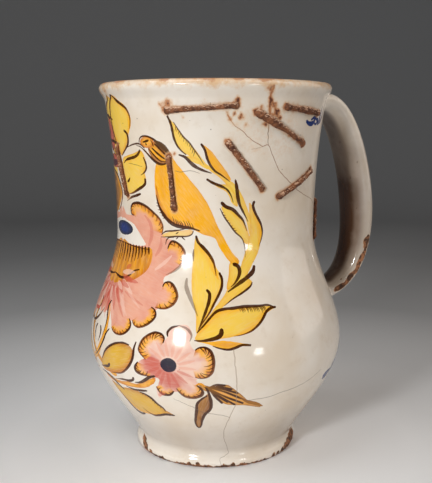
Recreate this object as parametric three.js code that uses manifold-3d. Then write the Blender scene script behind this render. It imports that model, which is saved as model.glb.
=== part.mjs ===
// A tin-glazed earthenware jug with a strap handle, mended long ago with iron staples.
//
// Millimetres, +Z up. The origin is the middle of the flat underside, on the axis of the
// wheel. The handle stands at +X, so the jug's front is at -X. The jug and its handle are
// one fired piece. Each staple is a separate bent bar with a leg let into the wall at each end.

import * as THREE from 'three';
import * as BufferGeometryUtils from 'three/addons/utils/BufferGeometryUtils.js';
import Module from 'manifold-3d';

const wasm = await Module();
wasm.setup();

// The thrown body: radii of the outside, and the heights at which they stand
const HEIGHT = 210;
const UNDERSIDE_RADIUS = 46.2;
const FOOT_RADIUS = 47.4;
const FOOT_BULGE_HEIGHT = 3;
const FOOT_WAIST_RADIUS = 45.4;
const FOOT_WAIST_HEIGHT = 8.5;
const BELLY_RADIUS = 73.6;
const BELLY_HEIGHT = 65;
const NECK_RADIUS = 57;
const NECK_HEIGHT = 128;
const COLLAR_RADIUS = 62.8;
const LIP_RADIUS = 66;
const LIP_HEIGHT = 9;
const LIP_THICKNESS = 6;
const WALL = 5.5;
const BASE_THICKNESS = 8;
const FLOOR_CURVE_RISE = 9;

// How steeply the outside opens, in millimetres of radius for each millimetre of height
const FOOT_EDGE_SLOPE = 0.8;
const BELLY_START_SLOPE = 0.55;
const COLLAR_SLOPE = 0.17;
const LIP_START_SLOPE = 0.35;

// The strap handle. Its middle line runs from a root under the lip, out to its reach and
// back to a root on the belly.
const HANDLE_TOP_DROP = 11.4;
const HANDLE_ROOT_HEIGHT = 84.8;
const HANDLE_REACH = 91.7;
const HANDLE_REACH_HEIGHT = 130.5;
const HANDLE_SHOULDER = 18.9;
const HANDLE_SHOULDER_RISE = 12.1;
const HANDLE_UPPER_PULL = 30.2;
const HANDLE_LOWER_PULL = 23.1;
const HANDLE_TAIL = 19.2;
const HANDLE_TAIL_RISE = 6.1;
const HANDLE_TOP_WIDTH = 32.3;
const HANDLE_MIDDLE_WIDTH = 30;
const HANDLE_TAIL_WIDTH = 22.5;
const HANDLE_TOP_THICKNESS = 11.4;
const HANDLE_MIDDLE_THICKNESS = 14.3;
const HANDLE_TAIL_THICKNESS = 8.6;
const HANDLE_ROOT_DEPTH = 3.5;
const HANDLE_ROOT_SWELL = 0.2;
const HANDLE_ROOT_LENGTH = 0.1;
const HANDLE_SQUARENESS = 2.6;

// The staples: bent iron wire, with each leg in a hole drilled part way into the wall
const STAPLE_WIDTH = 2.4;
const STAPLE_THICKNESS = 1.6;
const STAPLE_GAP = 0.3;
const STAPLE_HOLE_CLEARANCE = 0.5;
const STAPLE_HOLE_SHARE_OF_WALL = 0.55;
const STAPLE_HOLE_SPARE_DEPTH = 0.4;
const STAPLE_BEND_LENGTH = 2.2;

// Where each staple's two ends stand: degrees round from the jug's front, towards the side
// that faces a viewer who has the handle on the right, and rise as a share of the height
const STAPLES = {
  staple_rim_long: { from: { turn: 48.3, rise: 0.926 }, to: { turn: 81.9, rise: 0.937 } },
  staple_over_break: { from: { turn: 91.5, rise: 0.922 }, to: { turn: 122.8, rise: 0.844 } },
  staple_rim_short: { from: { turn: 107.4, rise: 0.935 }, to: { turn: 135.2, rise: 0.922 } },
  staple_neck_middle: { from: { turn: 77.9, rise: 0.850 }, to: { turn: 96.6, rise: 0.736 } },
  staple_neck_slant: { from: { turn: 106.6, rise: 0.715 }, to: { turn: 134.8, rise: 0.777 } },
  staple_by_handle: { from: { turn: 152.5, rise: 0.692 }, to: { turn: 150.4, rise: 0.586 } },
  staple_on_bird: { from: { turn: 48.3, rise: 0.814 }, to: { turn: 50.4, rise: 0.687 } },
  staple_on_leaf: { from: { turn: 9, rise: 0.838 }, to: { turn: 16.6, rise: 0.713 } },
};

// How finely the round forms are divided
const WHEEL_STEPS = 56;
const OUTSIDE_STEPS = 8;
const INSIDE_STEPS = 5;
const MOULDING_STEPS = 3;
const LIP_STEPS = 5;
const FLOOR_STEPS = 4;
const HANDLE_STEPS = 24;
const HANDLE_SIDES = 14;
const STAPLE_SIDES = 6;
const STAPLE_BAR_STEPS = 7;
const HOLE_SIDES = 8;

const GLAZE_COLOUR = 0xe6ddd0;
const IRON_COLOUR = 0x5b3524;

const glaze = new THREE.MeshStandardMaterial({ color: GLAZE_COLOUR, roughness: 0.25, metalness: 0 });
const iron = new THREE.MeshStandardMaterial({ color: IRON_COLOUR, roughness: 0.8, metalness: 0.3 });

// A knot of the outside's curve: its height, radius and slope
const COLLAR_HEIGHT = HEIGHT - LIP_HEIGHT;
const LIP_ROUNDING = LIP_THICKNESS / 2;
const LIP_MIDDLE_HEIGHT = HEIGHT - LIP_ROUNDING;
const LIP_MIDDLE_RADIUS = LIP_RADIUS - LIP_ROUNDING;
const KNOTS = [
  { height: 0, radius: UNDERSIDE_RADIUS, slope: FOOT_EDGE_SLOPE },
  { height: FOOT_BULGE_HEIGHT, radius: FOOT_RADIUS, slope: 0 },
  { height: FOOT_WAIST_HEIGHT, radius: FOOT_WAIST_RADIUS, slope: 0, slopeAbove: BELLY_START_SLOPE },
  { height: BELLY_HEIGHT, radius: BELLY_RADIUS, slope: 0 },
  { height: NECK_HEIGHT, radius: NECK_RADIUS, slope: 0 },
  { height: COLLAR_HEIGHT, radius: COLLAR_RADIUS, slope: COLLAR_SLOPE, slopeAbove: LIP_START_SLOPE },
  { height: LIP_MIDDLE_HEIGHT, radius: LIP_RADIUS, slope: 0 },
];

// The outside's radius at a height: smooth curves from knot to knot
function outerRadius(height) {
  const last = KNOTS.length - 2;
  const found = KNOTS.findIndex((knot, i) => i <= last && height <= KNOTS[i + 1].height);
  const low = KNOTS[found < 0 ? last : found];
  const high = KNOTS[(found < 0 ? last : found) + 1];
  const span = high.height - low.height;
  const t = THREE.MathUtils.clamp((height - low.height) / span, 0, 1);
  const startSlope = (low.slopeAbove ?? low.slope) * span;
  const endSlope = high.slope * span;
  const lowShare = 1 - 3 * t ** 2 + 2 * t ** 3;
  return (
    lowShare * low.radius +
    (1 - lowShare) * high.radius +
    (t - 2 * t ** 2 + t ** 3) * startSlope +
    (t ** 3 - t ** 2) * endSlope
  );
}

// The outward direction of the outside at a height, as (radius, height)
function outerNormal(height) {
  const step = 0.05;
  const slope = (outerRadius(height + step) - outerRadius(height - step)) / (2 * step);
  return new THREE.Vector2(1, -slope).normalize();
}

// A point on the outside, lifted off it along its normal
function onJug(turn, height, lift) {
  const normal = outerNormal(height);
  const angle = THREE.MathUtils.degToRad(turn + 180);
  const radius = outerRadius(height) + lift * normal.x;
  return new THREE.Vector3(radius * Math.cos(angle), radius * Math.sin(angle), height + lift * normal.y);
}

// The direction round the jug at an angle from its front
function roundJug(turn) {
  const angle = THREE.MathUtils.degToRad(turn + 180);
  return new THREE.Vector3(-Math.sin(angle), Math.cos(angle), 0);
}

// The heights at which the outside is divided, from the underside to the lip
function bodyHeights(longSteps) {
  const heights = [0];
  for (let i = 1; i < KNOTS.length; i++) {
    const span = KNOTS[i].height - KNOTS[i - 1].height;
    const steps = span > LIP_HEIGHT ? longSteps : MOULDING_STEPS;
    for (let k = 1; k <= steps; k++) {
      heights.push(KNOTS[i - 1].height + (span * k) / steps);
    }
  }
  return heights;
}

// A closed solid from a mesh whose points are shared by the faces that meet there
function solidOf(geometry) {
  const bare = geometry.clone();
  bare.deleteAttribute('normal');
  bare.deleteAttribute('uv');
  const merged = BufferGeometryUtils.mergeVertices(bare, 1e-4);
  const corners = merged.index.array;
  const faces = [];
  for (let i = 0; i < corners.length; i += 3) {
    const [a, b, c] = [corners[i], corners[i + 1], corners[i + 2]];
    if (a !== b && b !== c && c !== a) faces.push(a, b, c);
  }
  const mesh = new wasm.Mesh({
    numProp: 3,
    vertProperties: new Float32Array(merged.attributes.position.array),
    triVerts: new Uint32Array(faces),
  });
  mesh.merge();
  return new wasm.Manifold(mesh);
}

function geometryOf(solid) {
  const mesh = solid.getMesh();
  const geometry = new THREE.BufferGeometry();
  geometry.setAttribute('position', new THREE.BufferAttribute(new Float32Array(mesh.vertProperties), 3));
  geometry.setIndex(new THREE.BufferAttribute(new Uint32Array(mesh.triVerts), 1));
  geometry.computeVertexNormals();
  return geometry;
}

// A solid turned on the wheel from a profile of (radius, height) points
function turned(profile) {
  const geometry = new THREE.LatheGeometry(profile, WHEEL_STEPS);
  geometry.rotateX(Math.PI / 2);
  return solidOf(geometry);
}

// Points on the lip's half round, from its outer side over the top to its inner side
function lipRound(fromAngle, toAngle) {
  const points = [];
  for (let k = 0; k <= LIP_STEPS; k++) {
    const angle = fromAngle + ((toAngle - fromAngle) * k) / LIP_STEPS;
    points.push(
      new THREE.Vector2(
        LIP_MIDDLE_RADIUS + LIP_ROUNDING * Math.cos(angle),
        LIP_MIDDLE_HEIGHT + LIP_ROUNDING * Math.sin(angle),
      ),
    );
  }
  return points;
}

// The whole outside as a solid, before it is hollowed
function outerForm() {
  const wall = bodyHeights(OUTSIDE_STEPS).map((height) => new THREE.Vector2(outerRadius(height), height));
  const lip = lipRound(0, Math.PI / 2).slice(1);
  return turned([new THREE.Vector2(0, 0), ...wall, ...lip, new THREE.Vector2(0, HEIGHT)]);
}

// A point on the inside of the wall, behind the outside at a height
function innerPoint(height) {
  const normal = outerNormal(height);
  return new THREE.Vector2(outerRadius(height) - WALL * normal.x, height - WALL * normal.y);
}

// The space inside the jug: a floor that curves up into the wall, then the outside less
// the wall's thickness, up to the inner side of the lip
function cavity() {
  const wallStart = innerPoint(BASE_THICKNESS + FLOOR_CURVE_RISE);
  const above = innerPoint(BASE_THICKNESS + 2 * FLOOR_CURVE_RISE);
  const slope = (above.x - wallStart.x) / (above.y - wallStart.y);
  const corner = new THREE.Vector2(wallStart.x - slope * (wallStart.y - BASE_THICKNESS), BASE_THICKNESS);
  const floorEnd = new THREE.Vector2(corner.x - corner.distanceTo(wallStart), BASE_THICKNESS);
  const floorCurve = new THREE.QuadraticBezierCurve(floorEnd, corner, wallStart).getPoints(FLOOR_STEPS);
  const wall = bodyHeights(INSIDE_STEPS)
    .filter((height) => height <= COLLAR_HEIGHT)
    .map(innerPoint)
    .filter((point) => point.y > wallStart.y + WALL / 2);
  const lip = lipRound(Math.PI, Math.PI / 2);
  const top = HEIGHT + LIP_THICKNESS;
  return turned([
    new THREE.Vector2(0, BASE_THICKNESS),
    ...floorCurve,
    ...wall,
    ...lip,
    new THREE.Vector2(LIP_MIDDLE_RADIUS, top),
    new THREE.Vector2(0, top),
  ]);
}

// A bar whose middle line passes through stations. Each has a place, a side direction, half
// sizes across and through, and a squareness: 2 is an ellipse, more is nearer a rectangle.
function bentBar(stations, sides) {
  const last = stations.length - 1;
  const geometry = new THREE.CylinderGeometry(1, 1, 1, sides, last);
  const position = geometry.attributes.position;
  const round = (value, squareness) => Math.sign(value) * Math.abs(value) ** (2 / squareness);
  for (let i = 0; i < position.count; i++) {
    const k = Math.round((position.getY(i) + 0.5) * last);
    const station = stations[k];
    const ahead = stations[Math.min(k + 1, last)].place;
    const behind = stations[Math.max(k - 1, 0)].place;
    const along = ahead.clone().sub(behind).normalize();
    const through = station.side.clone().cross(along).normalize();
    const point = station.place
      .clone()
      .addScaledVector(station.side, round(position.getX(i), station.squareness) * station.halfWidth)
      .addScaledVector(through, round(position.getZ(i), station.squareness) * station.halfThickness);
    position.setXYZ(i, point.x, point.y, point.z);
  }
  return geometry;
}

// The handle's middle line, in the plane through the jug's axis
function handleLine() {
  const top = HEIGHT - HANDLE_TOP_DROP;
  const topRadius = outerRadius(top) - HANDLE_ROOT_DEPTH;
  const tailRadius = outerRadius(HANDLE_ROOT_HEIGHT) - HANDLE_ROOT_DEPTH;
  const line = new THREE.CurvePath();
  line.add(
    new THREE.CubicBezierCurve3(
      new THREE.Vector3(topRadius, 0, top),
      new THREE.Vector3(topRadius + HANDLE_SHOULDER, 0, top + HANDLE_SHOULDER_RISE),
      new THREE.Vector3(HANDLE_REACH, 0, HANDLE_REACH_HEIGHT + HANDLE_UPPER_PULL),
      new THREE.Vector3(HANDLE_REACH, 0, HANDLE_REACH_HEIGHT),
    ),
  );
  line.add(
    new THREE.CubicBezierCurve3(
      new THREE.Vector3(HANDLE_REACH, 0, HANDLE_REACH_HEIGHT),
      new THREE.Vector3(HANDLE_REACH, 0, HANDLE_REACH_HEIGHT - HANDLE_LOWER_PULL),
      new THREE.Vector3(tailRadius + HANDLE_TAIL, 0, HANDLE_ROOT_HEIGHT + HANDLE_TAIL_RISE),
      new THREE.Vector3(tailRadius, 0, HANDLE_ROOT_HEIGHT),
    ),
  );
  return line;
}

// A size that goes from the top root through the middle of the handle to its tail
function alongHandle(t, top, middle, tail) {
  const half = t < 0.5 ? 2 * t : 2 * t - 1;
  const from = t < 0.5 ? top : middle;
  const to = t < 0.5 ? middle : tail;
  return from + (to - from) * THREE.MathUtils.smoothstep(half, 0, 1);
}

// The strap, led on into the wall at each end. The cavity trims what runs through the wall.
function handle() {
  const line = handleLine();
  const stations = [];
  for (let k = -1; k <= HANDLE_STEPS + 1; k++) {
    const t = THREE.MathUtils.clamp(k / HANDLE_STEPS, 0, 1);
    const leadIn = (k / HANDLE_STEPS - t) * HANDLE_STEPS * WALL;
    const fromRoot = Math.min(t, 1 - t) / HANDLE_ROOT_LENGTH;
    const swell = 1 + HANDLE_ROOT_SWELL * (1 - THREE.MathUtils.smoothstep(fromRoot, 0, 1));
    const width = alongHandle(t, HANDLE_TOP_WIDTH, HANDLE_MIDDLE_WIDTH, HANDLE_TAIL_WIDTH);
    const thickness = alongHandle(t, HANDLE_TOP_THICKNESS, HANDLE_MIDDLE_THICKNESS, HANDLE_TAIL_THICKNESS);
    stations.push({
      place: line.getPointAt(t).addScaledVector(line.getTangentAt(t), leadIn),
      side: new THREE.Vector3(0, 1, 0),
      halfWidth: (width * swell) / 2,
      halfThickness: (thickness * swell) / 2,
      squareness: HANDLE_SQUARENESS,
    });
  }
  return solidOf(bentBar(stations, HANDLE_SIDES));
}

const STAPLE_HOLE_DEPTH = WALL * STAPLE_HOLE_SHARE_OF_WALL;
const STAPLE_LEG_DEPTH = STAPLE_HOLE_DEPTH - STAPLE_HOLE_SPARE_DEPTH;

// A staple's ends as turns and heights, and the distance between them
function stapleEnds({ from, to }) {
  const ends = [from, to].map(({ turn, rise }) => ({ turn, height: HEIGHT * rise }));
  const length = onJug(ends[0].turn, ends[0].height, 0).distanceTo(onJug(ends[1].turn, ends[1].height, 0));
  return { ends, length };
}

// The bar follows the wall's curve between its ends and turns into the wall at each
function staple(spec) {
  const { ends, length } = stapleEnds(spec);
  const [start, end] = ends;
  const barLift = STAPLE_GAP + STAPLE_THICKNESS / 2;
  const share = STAPLE_BEND_LENGTH / length;
  const places = [
    { along: 0, lift: -STAPLE_LEG_DEPTH },
    { along: 0, lift: barLift / 2 },
  ];
  for (let k = 0; k <= STAPLE_BAR_STEPS; k++) {
    places.push({ along: share + ((1 - 2 * share) * k) / STAPLE_BAR_STEPS, lift: barLift });
  }
  places.push({ along: 1, lift: barLift / 2 }, { along: 1, lift: -STAPLE_LEG_DEPTH });
  const turnSpan = end.turn - start.turn;
  const heightSpan = end.height - start.height;
  const stations = places.map(({ along, lift }) => {
    const turn = start.turn + turnSpan * along;
    const height = start.height + heightSpan * along;
    const middle = onJug(turn, height, 0);
    const outward = onJug(turn, height, 1).sub(middle);
    const upward = outward.clone().cross(roundJug(turn)).normalize();
    const run = roundJug(turn)
      .multiplyScalar(THREE.MathUtils.degToRad(turnSpan) * outerRadius(height))
      .addScaledVector(upward, heightSpan);
    return {
      place: middle.addScaledVector(outward, lift),
      side: run.cross(outward).normalize(),
      halfWidth: STAPLE_WIDTH / 2,
      halfThickness: STAPLE_THICKNESS / 2,
      squareness: 2,
    };
  });
  return bentBar(stations, STAPLE_SIDES);
}

// The two drilled holes that a staple's legs stand in
function stapleHoles(spec) {
  const radius = STAPLE_WIDTH / 2 + STAPLE_HOLE_CLEARANCE;
  const mouth = STAPLE_GAP + STAPLE_THICKNESS;
  return stapleEnds(spec).ends.map(({ turn, height }) => {
    const drill = new THREE.CylinderGeometry(radius, radius, STAPLE_HOLE_DEPTH + mouth, HOLE_SIDES);
    const outward = onJug(turn, height, 1).sub(onJug(turn, height, 0));
    const middle = onJug(turn, height, (mouth - STAPLE_HOLE_DEPTH) / 2);
    drill.applyQuaternion(new THREE.Quaternion().setFromUnitVectors(new THREE.Vector3(0, 1, 0), outward));
    drill.translate(middle.x, middle.y, middle.z);
    return solidOf(drill);
  });
}

function jug() {
  const holes = Object.values(STAPLES).flatMap(stapleHoles);
  const hollowed = outerForm().add(handle()).subtract(cavity());
  return holes.reduce((body, hole) => body.subtract(hole), hollowed);
}

function named(name, geometry, material) {
  const mesh = new THREE.Mesh(geometry, material);
  mesh.name = name;
  return mesh;
}

const mended = new THREE.Group();
mended.add(named('jug', geometryOf(jug()), glaze));
for (const [name, spec] of Object.entries(STAPLES)) {
  mended.add(named(name, geometryOf(solidOf(staple(spec))), iron));
}

export default mended;
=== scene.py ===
"""A painted tin-glazed jug with a strap handle, mended with iron staples.

The wall is drawn on a chart: x runs round the jug in millimetres at CHART_RADIUS, y is the
height in millimetres. A place on the jug is given as (turn, height): degrees round from the
jug's front, towards the side that the camera sees, and millimetres above the table.
"""

import math

import bmesh
import bpy
import numpy
from bpy.props import FloatProperty, FloatVectorProperty, PointerProperty
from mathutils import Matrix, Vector, noise
from mathutils.geometry import delaunay_2d_cdt


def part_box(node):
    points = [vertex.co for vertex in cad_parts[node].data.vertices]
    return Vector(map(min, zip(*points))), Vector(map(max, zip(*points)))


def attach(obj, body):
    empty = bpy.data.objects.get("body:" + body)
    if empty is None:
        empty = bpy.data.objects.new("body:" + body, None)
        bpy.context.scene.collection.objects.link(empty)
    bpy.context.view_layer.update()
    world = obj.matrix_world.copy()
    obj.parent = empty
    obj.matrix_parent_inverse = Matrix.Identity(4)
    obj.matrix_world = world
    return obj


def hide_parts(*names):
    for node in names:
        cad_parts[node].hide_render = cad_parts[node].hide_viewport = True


bl_info = {
    "name": "Mended Painted Jug",
    "version": (1, 0, 0),
    "blender": (4, 5, 0),
    "location": "3D View > Sidebar > Jug",
    "description": "Throws, paints and mends a tin-glazed jug, and sets its stage",
    "category": "Object",
}

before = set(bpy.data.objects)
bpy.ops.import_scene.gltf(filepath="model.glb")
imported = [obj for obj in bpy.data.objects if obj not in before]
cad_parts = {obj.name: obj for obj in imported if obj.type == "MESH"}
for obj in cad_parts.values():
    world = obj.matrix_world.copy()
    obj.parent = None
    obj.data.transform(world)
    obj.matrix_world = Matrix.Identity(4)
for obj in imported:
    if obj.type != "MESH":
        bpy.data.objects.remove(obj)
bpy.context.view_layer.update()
JUG_LOW, JUG_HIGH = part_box("jug")

MM = 0.001
CHART_RADIUS = 62.0
SEAM_TURN = -120.0
# How much heavier the brush lines are than the widths written with them
LINE_WEIGHT = 1.35
# The turn about which the painting is repeated on the side that the camera doesn't see
MIRROR_TURN = 8.0
# Where along a curve its hatching starts and ends, as shares of its length
HATCH_START, HATCH_END = 0.05, 0.95


def srgb(red, green, blue):
    """A colour given as screen values from 0 to 255, as linear light."""
    channels = []
    for value in (red, green, blue):
        share = value / 255.0
        channels.append(share / 12.92 if share <= 0.04045 else ((share + 0.055) / 1.055) ** 2.4)
    return tuple(channels)


def length(name, description, millimetres):
    return FloatProperty(name=name, description=description, default=millimetres * MM, unit="LENGTH")


def power(name, description, watts):
    return FloatProperty(name=name, description=description, default=watts, unit="POWER")


def colour(name, description, screen):
    return FloatVectorProperty(
        name=name, description=description, default=srgb(*screen), size=3, min=0, max=1, subtype="COLOR"
    )


class JugBodySizes(bpy.types.PropertyGroup):
    height: length("Height", "From the table to the top of the rim", JUG_HIGH[2] / MM)
    underside_radius: length("Underside radius", "Edge of the flat underside", 46.2)
    foot_radius: length("Foot radius", "Widest part of the foot's moulding", 47.4)
    foot_bulge_height: length("Foot bulge height", "Height of the foot's widest part", 3.0)
    waist_radius: length("Foot waist radius", "Narrowest part above the foot", 45.4)
    waist_height: length("Foot waist height", "Height of that narrow part", 8.5)
    belly_radius: length("Belly radius", "Widest part of the body", JUG_HIGH[1] / MM)
    belly_height: length("Belly height", "Height of the widest part", 65.0)
    neck_radius: length("Neck radius", "Narrowest part of the neck", 57.0)
    neck_height: length("Neck height", "Height of the narrowest part", 128.0)
    collar_radius: length("Collar radius", "Outside just below the lip", 62.8)
    lip_radius: length("Lip radius", "Outside of the lip", 66.0)
    lip_height: length("Lip height", "Depth of the lip", 9.0)
    lip_thickness: length("Lip thickness", "Thickness of the rounded lip", 6.0)
    wall: length("Wall", "Thickness of the wall", 5.5)
    base: length("Base", "Thickness of the base", 8.0)
    floor_curve_rise: length("Floor curve rise", "Where the floor has curved into the wall", 9.0)


class HandleSizes(bpy.types.PropertyGroup):
    top_drop: length("Top root drop", "Middle of the top root below the rim", 11.4)
    root_height: length("Lower root height", "Middle of the lower root", 84.8)
    reach: length("Reach", "Middle of the strap from the jug's axis", 91.7)
    reach_height: length("Reach height", "Height of the furthest part", 130.5)
    shoulder: length("Shoulder", "How far the top runs out before it turns", 18.9)
    shoulder_rise: length("Shoulder rise", "How far the top rises on its way out", 12.1)
    upper_pull: length("Upper pull", "Straightness above the furthest part", 30.2)
    lower_pull: length("Lower pull", "Straightness below the furthest part", 23.1)
    tail: length("Tail", "How far the lower end runs out", 19.2)
    tail_rise: length("Tail rise", "How far the lower end rises on its way out", 6.1)
    top_width: length("Top width", "Width of the strap at the top", 32.3)
    middle_width: length("Middle width", "Width of the strap in the middle", 30.0)
    tail_width: length("Tail width", "Width of the strap at the lower root", 22.5)
    top_thickness: length("Top thickness", "Thickness at the top", 11.4)
    middle_thickness: length("Middle thickness", "Thickness in the middle", 14.3)
    tail_thickness: length("Tail thickness", "Thickness at the lower root", 8.6)
    root_depth: length("Root depth", "How far the middle line runs into the wall", 3.5)
    fillet: length("Fillet", "Clay smoothed round each root", 3.0)


class StapleSizes(bpy.types.PropertyGroup):
    width: length("Width", "Width of the iron wire", 2.4)
    thickness: length("Thickness", "Thickness of the iron wire", 1.6)
    gap: length("Gap", "Between the bar and the wall", 0.3)
    leg: length("Leg", "How deep a leg stands in the wall", 2.6)
    bend: length("Bend", "Length of the bend at each end", 2.2)


class IronColours(bpy.types.PropertyGroup):
    dark: colour("Dark iron", "Iron in the hollows", (84, 46, 30))
    brown: colour("Brown iron", "Most of the iron", (146, 92, 58))
    rust: colour("Rust grains", "Orange grains of rust", (200, 126, 72))
    # The worn iron colour is a painted highlight, laid where the iron faces up and outwards
    worn: colour("Worn iron", "The raised edges, where they are polished", (240, 200, 168))


class GlazeColours(bpy.types.PropertyGroup):
    white: colour("Glaze white", "Tin glaze where it is clean", (243, 235, 224))
    cream: colour("Glaze cream", "Tin glaze where it is thin", (232, 217, 197))
    clay: colour("Clay", "Bare fired clay", (172, 116, 78))
    clay_dark: colour("Dirty clay", "Bare clay with old dirt", (70, 44, 28))
    rust: colour("Rust", "Rust stain", (186, 116, 64))
    rust_dark: colour("Dark rust", "Crusted rust", (104, 54, 30))
    # This tint also lays painted shade on the strap's inner face and in the hollow above the foot, besides
    # the dirt in the handle's pits
    grime: colour("Grime", "Old dirt on the handle and above the foot, as a tint", (84, 56, 36))
    rim: colour("Worn rim", "Thin, worn glaze at the rim", (226, 190, 150))


class PaintColours(bpy.types.PropertyGroup):
    yellow: colour("Yellow", "Thin antimony yellow", (252, 210, 78))
    yellow_deep: colour("Deep yellow", "Pooled yellow", (238, 160, 20))
    orange: colour("Orange", "Orange of the bird", (255, 182, 8))
    orange_deep: colour("Deep orange", "Pooled orange", (206, 112, 8))
    pink_pale: colour("Pale pink", "The thinnest pink", (248, 208, 190))
    pink: colour("Pink", "Thin pink", (238, 164, 136))
    pink_deep: colour("Deep pink", "Pooled pink", (208, 92, 74))
    brown: colour("Brown", "Brush lines", (70, 32, 6))
    brown_thin: colour("Thin brown", "Dry end of a brush line", (130, 70, 16))
    olive: colour("Olive", "Dark leaf", (164, 106, 26))
    grey: colour("Grey", "Washed-out line", (96, 66, 38))
    gold: colour("Gold", "Dull yellow of the low leaves and the cup", (230, 180, 44))
    gold_deep: colour("Deep gold", "Pooled dull yellow", (192, 118, 10))
    blue: colour("Blue", "Cobalt blue", (0, 44, 118))
    blue_dark: colour("Dark blue", "Pooled cobalt", (26, 32, 54))
    crack: colour("Crack", "Dirt in the cracks", (112, 90, 70))
    crack_pale: colour("Pale crack", "A crack with little dirt", (166, 138, 112))
    crack_rusty: colour("Rusty crack", "A crack stained by the staples", (150, 96, 58))


class StageSettings(bpy.types.PropertyGroup):
    floor_radius: length("Floor radius", "Where the floor starts to curve up", 1100.0)
    cove_radius: length("Cove radius", "Radius of the curve from the floor to the wall", 600.0)
    wall_height: length("Wall height", "Height of the wall above the curve", 500.0)
    camera_distance: length("Camera distance", "From the jug's axis", 448.8)
    camera_height: length("Camera height", "Above the table", 187.4)
    camera_pitch: FloatProperty(name="Camera pitch", default=8.63, description="Degrees down")
    camera_azimuth: FloatProperty(name="Camera azimuth", default=-108.0, description="Degrees from +X")
    camera_shift: length("Camera offset", "Sideways from the jug's axis", 0.35)
    lens: FloatProperty(name="Lens", default=57.47, description="Focal length in millimetres")
    key_power: power("Left light", "The small soft light on the left", 7.5)
    fill_power: power("Right light", "The small soft light on the right", 0.9)
    side_power: power("Side light", "The broad light on the right", 1.2)
    edge_power: power("Edge light", "The broad light far right", 2.6)
    top_power: power("Top light", "The broad light overhead", 3.1)


def sizes_in_mm(group):
    """The lengths of a property group as plain numbers in millimetres."""
    return {key: getattr(group, key) / MM for key in group.__annotations__}


def smooth(value, low=0.0, high=1.0):
    share = min(max((value - low) / (high - low), 0.0), 1.0)
    return share * share * (3 - 2 * share)


def mix(a, b, share):
    return tuple(x + (y - x) * share for x, y in zip(a, b))


class BodyForm:
    """The thrown form: the outside's radius at a height, and the rows of the hidden sides."""

    def __init__(self, sizes):
        self.s = sizes
        self.rounding = sizes["lip_thickness"] / 2
        self.lip_middle = sizes["height"] - self.rounding
        self.collar = sizes["height"] - sizes["lip_height"]
        self.knots = [
            (0.0, sizes["underside_radius"], 0.8, 0.8),
            (sizes["foot_bulge_height"], sizes["foot_radius"], 0.0, 0.0),
            (sizes["waist_height"], sizes["waist_radius"], 0.0, 0.55),
            (sizes["belly_height"], sizes["belly_radius"], 0.0, 0.0),
            (sizes["neck_height"], sizes["neck_radius"], 0.0, 0.0),
            (self.collar, sizes["collar_radius"], 0.17, 0.35),
            (self.lip_middle, sizes["lip_radius"], 0.0, 0.0),
        ]

    def radius(self, height):
        """The outside's radius, with the crease above the foot rubbed soft."""
        crease = self.s["waist_height"]
        if abs(height - crease) > 3.0:
            return self.curve_radius(height)
        reach = 1.6 * (1 - smooth(abs(height - crease), 1.6, 3.0))
        return sum(self.curve_radius(height + reach * k / 2) for k in (-2, -1, 0, 1, 2)) / 5

    def curve_radius(self, height):
        index = 0
        while index < len(self.knots) - 2 and height > self.knots[index + 1][0]:
            index += 1
        low_height, low_radius, _, start_slope = self.knots[index]
        high_height, high_radius, end_slope, _ = self.knots[index + 1]
        span = high_height - low_height
        t = min(max((height - low_height) / span, 0.0), 1.0)
        low_share = 1 - 3 * t**2 + 2 * t**3
        return (
            low_share * low_radius
            + (1 - low_share) * high_radius
            + (t - 2 * t**2 + t**3) * start_slope * span
            + (t**3 - t**2) * end_slope * span
        )

    def slope(self, height, step=0.2):
        low = max(height - step, 0.0)
        high = min(height + step, self.lip_middle)
        return (self.radius(high) - self.radius(low)) / (high - low)

    def place(self, x, y, lift=0.0):
        """A chart point in space, in millimetres, lifted off the wall along its normal."""
        angle = x / CHART_RADIUS + math.pi
        slope = self.slope(y)
        size = math.hypot(1.0, slope)
        radius = self.radius(y) + lift / size
        return Vector((radius * math.cos(angle), radius * math.sin(angle), y - lift * slope / size))

    def normal(self, x, y):
        angle = x / CHART_RADIUS + math.pi
        return Vector((math.cos(angle), math.sin(angle), -self.slope(y))).normalized()

    def inner_point(self, height):
        slope = self.slope(height)
        size = math.hypot(1.0, slope)
        wall = self.s["wall"]
        return (self.radius(height) - wall / size, height + wall * slope / size)

    def inside_rows(self):
        """(radius, height) rows from just past the lip's outer side, over it, to the floor."""
        rows = []
        middle_radius = self.s["lip_radius"] - self.rounding
        for k in range(1, 11):
            angle = math.pi * k / 10
            rows.append(
                (
                    middle_radius + self.rounding * math.cos(angle),
                    self.lip_middle + self.rounding * math.sin(angle),
                )
            )
        start = self.inner_point(self.s["base"] + self.s["floor_curve_rise"])
        height = self.collar
        while height > self.s["base"] + self.s["floor_curve_rise"] + 3:
            rows.append(self.inner_point(height))
            height -= 4.5
        above = self.inner_point(self.s["base"] + 2 * self.s["floor_curve_rise"])
        slope = (above[0] - start[0]) / (above[1] - start[1])
        corner = (start[0] - slope * (start[1] - self.s["base"]), self.s["base"])
        reach = math.dist(start, corner)
        end = (corner[0] - reach, self.s["base"])
        for k in range(0, 11):
            t = k / 10
            ends = zip(start, corner, end)
            rows.append(tuple((1 - t) ** 2 * a + 2 * t * (1 - t) * b + t * t * c for a, b, c in ends))
        for share in (0.75, 0.5, 0.25, 0.08):
            rows.append((end[0] * share, self.s["base"]))
        return rows

    def underside_rows(self):
        edge = self.s["underside_radius"]
        inner = [(edge * share, 0.0) for share in (0.8, 0.5, 0.2)]
        return [(edge - 0.3, 0.0), (edge - 1.2, 0.0)] + inner


def chart(place):
    turn, height = place
    return (math.radians(turn) * CHART_RADIUS, height)


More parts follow.
